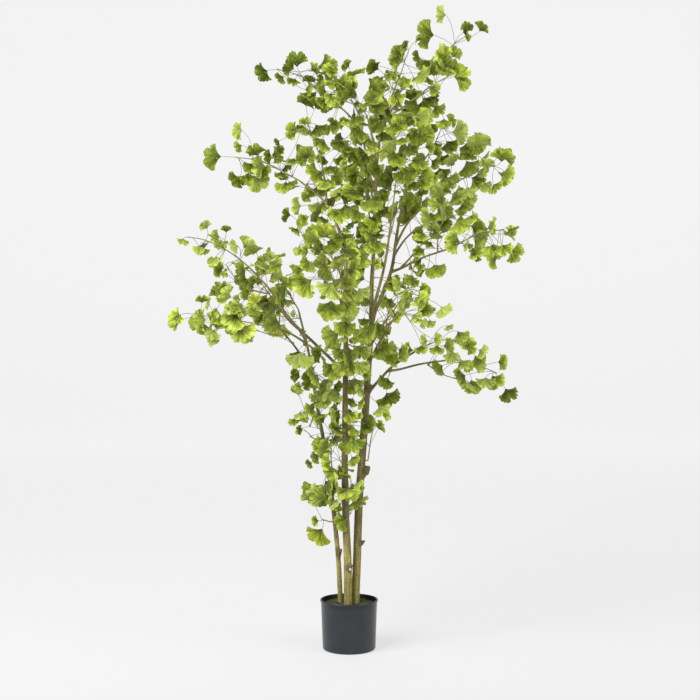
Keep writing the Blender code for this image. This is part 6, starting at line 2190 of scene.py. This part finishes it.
class GINKGO_OT_leaves(bpy.types.Operator):
    """Hang the fan leaves on their arching stalks, limb by limb"""
    bl_idname = "ginkgo.leaves"
    bl_label = "Make Leaves"

    def execute(self, context):
        settings = context.scene.ginkgo_leaf
        patterns = make_blade_patterns(settings)
        chance = random.Random(MORE_SEED)
        for name, held in grown_plan()[1].items():
            leaves = leafy_base(f"{name}_leaves", held.leaves, settings.stalk_radius, chance)
            grow(leaves, leaf_tree(), {
                "Blades": patterns, "Stalk Sides": settings.stalk_sides,
                "Material": leaf_material()})
            finish_piece(leaves, leaf_material(), "ginkgo_leaf", *held.nodes)
        drop_patterns(patterns)
        return {"FINISHED"}


class GINKGO_OT_stage(bpy.types.Operator):
    """Set up the pale sweep, the soft lights and the level camera"""
    bl_idname = "ginkgo.stage"
    bl_label = "Make Stage"

    def execute(self, context):
        settings = context.scene.ginkgo_stage
        make_sweep(settings)
        make_surround(context.scene, settings)
        make_light("key_light", KEY_PLACE, settings.key_power)
        make_light("fill_light", FILL_PLACE, settings.fill_power)
        make_camera(context.scene, settings)
        context.scene.view_settings.view_transform = "Standard"
        return {"FINISHED"}


# The sweep, in metres, the stretch of it over which its glow rises, and the lights
SWEEP_FRONT = -12.0
SWEEP_BACK = 10.0
SWEEP_TURN = 3.0
SWEEP_HEIGHT = 9.0
SWEEP_HALF_WIDTH = 12.0
SWEEP_STEPS = 16
GLOW_FROM = -0.5
GLOW_TO = 10.0
GLOW_BEND = 0.55
KEY_PLACE = (-2.6, -2.6, 3.4)
FILL_PLACE = (3.0, -2.2, 2.2)
LIGHT_SIZE = 3.0
LIGHT_AIM = (0, 0, 0.9)
SENSOR_WIDTH = 36


def make_sweep(settings):
    """A floor that curves up into the backdrop behind the plant, and glows more towards it."""
    profile = [(SWEEP_FRONT, 0), (SWEEP_BACK - SWEEP_TURN, 0)]
    for step in range(1, SWEEP_STEPS + 1):
        angle = math.pi / 2 * step / SWEEP_STEPS
        profile.append((
            SWEEP_BACK - SWEEP_TURN + SWEEP_TURN * math.sin(angle),
            SWEEP_TURN * (1 - math.cos(angle))))
    profile.append((SWEEP_BACK, SWEEP_HEIGHT))
    count = len(profile)
    sides = (-SWEEP_HALF_WIDTH, SWEEP_HALF_WIDTH)
    points = [(across, along, height) for across in sides for along, height in profile]
    faces = [(step, step + count, step + count + 1, step + 1) for step in range(count - 1)]
    mesh = plain_mesh("sweep", points, faces=faces)
    mesh.shade_smooth()
    material, tree, shader = new_material("studio_sweep", 0.9)
    shader.inputs["Base Color"].default_value = (*settings.floor, 1)
    shader.inputs["Emission Color"].default_value = (1, 1, 1, 1)
    place = put(tree, "ShaderNodeSeparateXYZ", {0: object_place(tree)})
    away = ranged(tree, place.outputs["Y"], GLOW_FROM, GLOW_TO)
    bent = maths(tree, "POWER", away, GLOW_BEND)
    glow = ranged(tree, bent, 0.0, 1.0, settings.glow, settings.far_glow)
    tree.links.new(glow, shader.inputs["Emission Strength"])
    mesh.materials.append(material)
    shown_object("sweep", mesh)


def make_surround(scene, settings):
    """White light from all round, as in a studio with pale walls."""
    world = bpy.data.worlds.new("surround")
    world.use_nodes = True
    back = world.node_tree.nodes["Background"]
    back.inputs["Color"].default_value = (1, 1, 1, 1)
    back.inputs["Strength"].default_value = settings.surround
    scene.world = world


def make_light(name, place, power):
    """A large soft light, out of the camera's sight, aimed at the middle of the plant."""
    light = bpy.data.lights.new(name, "AREA")
    light.size = LIGHT_SIZE
    light.energy = power
    item = bpy.data.objects.new(name, light)
    item.location = place
    aim = Vector(LIGHT_AIM) - Vector(place)
    item.rotation_euler = aim.to_track_quat("-Z", "Y").to_euler()
    item.visible_camera = False
    bpy.context.scene.collection.objects.link(item)


def make_camera(scene, settings):
    """A level camera in front of the pot."""
    camera = bpy.data.cameras.new("camera")
    camera.sensor_width = SENSOR_WIDTH
    camera.lens = settings.lens
    item = bpy.data.objects.new("camera", camera)
    item.location = (settings.camera_across, -settings.camera_distance, settings.camera_height)
    item.rotation_euler = (math.pi / 2, 0, 0)
    scene.collection.objects.link(item)
    scene.camera = item


MAKERS = (
    GINKGO_OT_pot, GINKGO_OT_soil, GINKGO_OT_stems, GINKGO_OT_twigs, GINKGO_OT_leaves,
    GINKGO_OT_stage,
)
SETTINGS = {
    "ginkgo_leaf": GinkgoLeafSettings, "ginkgo_bark": GinkgoBarkSettings,
    "ginkgo_pot": GinkgoPotSettings, "ginkgo_stage": GinkgoStageSettings,
}


class GINKGO_PT_panel(bpy.types.Panel):
    """The settings and steps of the potted ginkgo"""
    bl_idname = "GINKGO_PT_panel"
    bl_label = "Potted Ginkgo"
    bl_space_type = "VIEW_3D"
    bl_region_type = "UI"
    bl_category = "Ginkgo"

    def draw(self, context):
        layout = self.layout
        for name, group in SETTINGS.items():
            box = layout.box()
            for field in group.__annotations__:
                box.prop(getattr(context.scene, name), field)
        for maker in MAKERS:
            layout.operator(maker.bl_idname)


def register():
    for kind in (*SETTINGS.values(), *MAKERS, GINKGO_PT_panel):
        bpy.utils.register_class(kind)
    for name, group in SETTINGS.items():
        setattr(bpy.types.Scene, name, PointerProperty(type=group))


def unregister():
    for name in SETTINGS:
        delattr(bpy.types.Scene, name)
    for kind in (GINKGO_PT_panel, *reversed(MAKERS), *reversed(SETTINGS.values())):
        bpy.utils.unregister_class(kind)


def main():
    register()
    bpy.ops.ginkgo.pot()
    bpy.ops.ginkgo.soil()
    bpy.ops.ginkgo.stems()
    bpy.ops.ginkgo.twigs()
    bpy.ops.ginkgo.leaves()
    bpy.ops.ginkgo.stage()


if __name__ == "__main__":
    main()
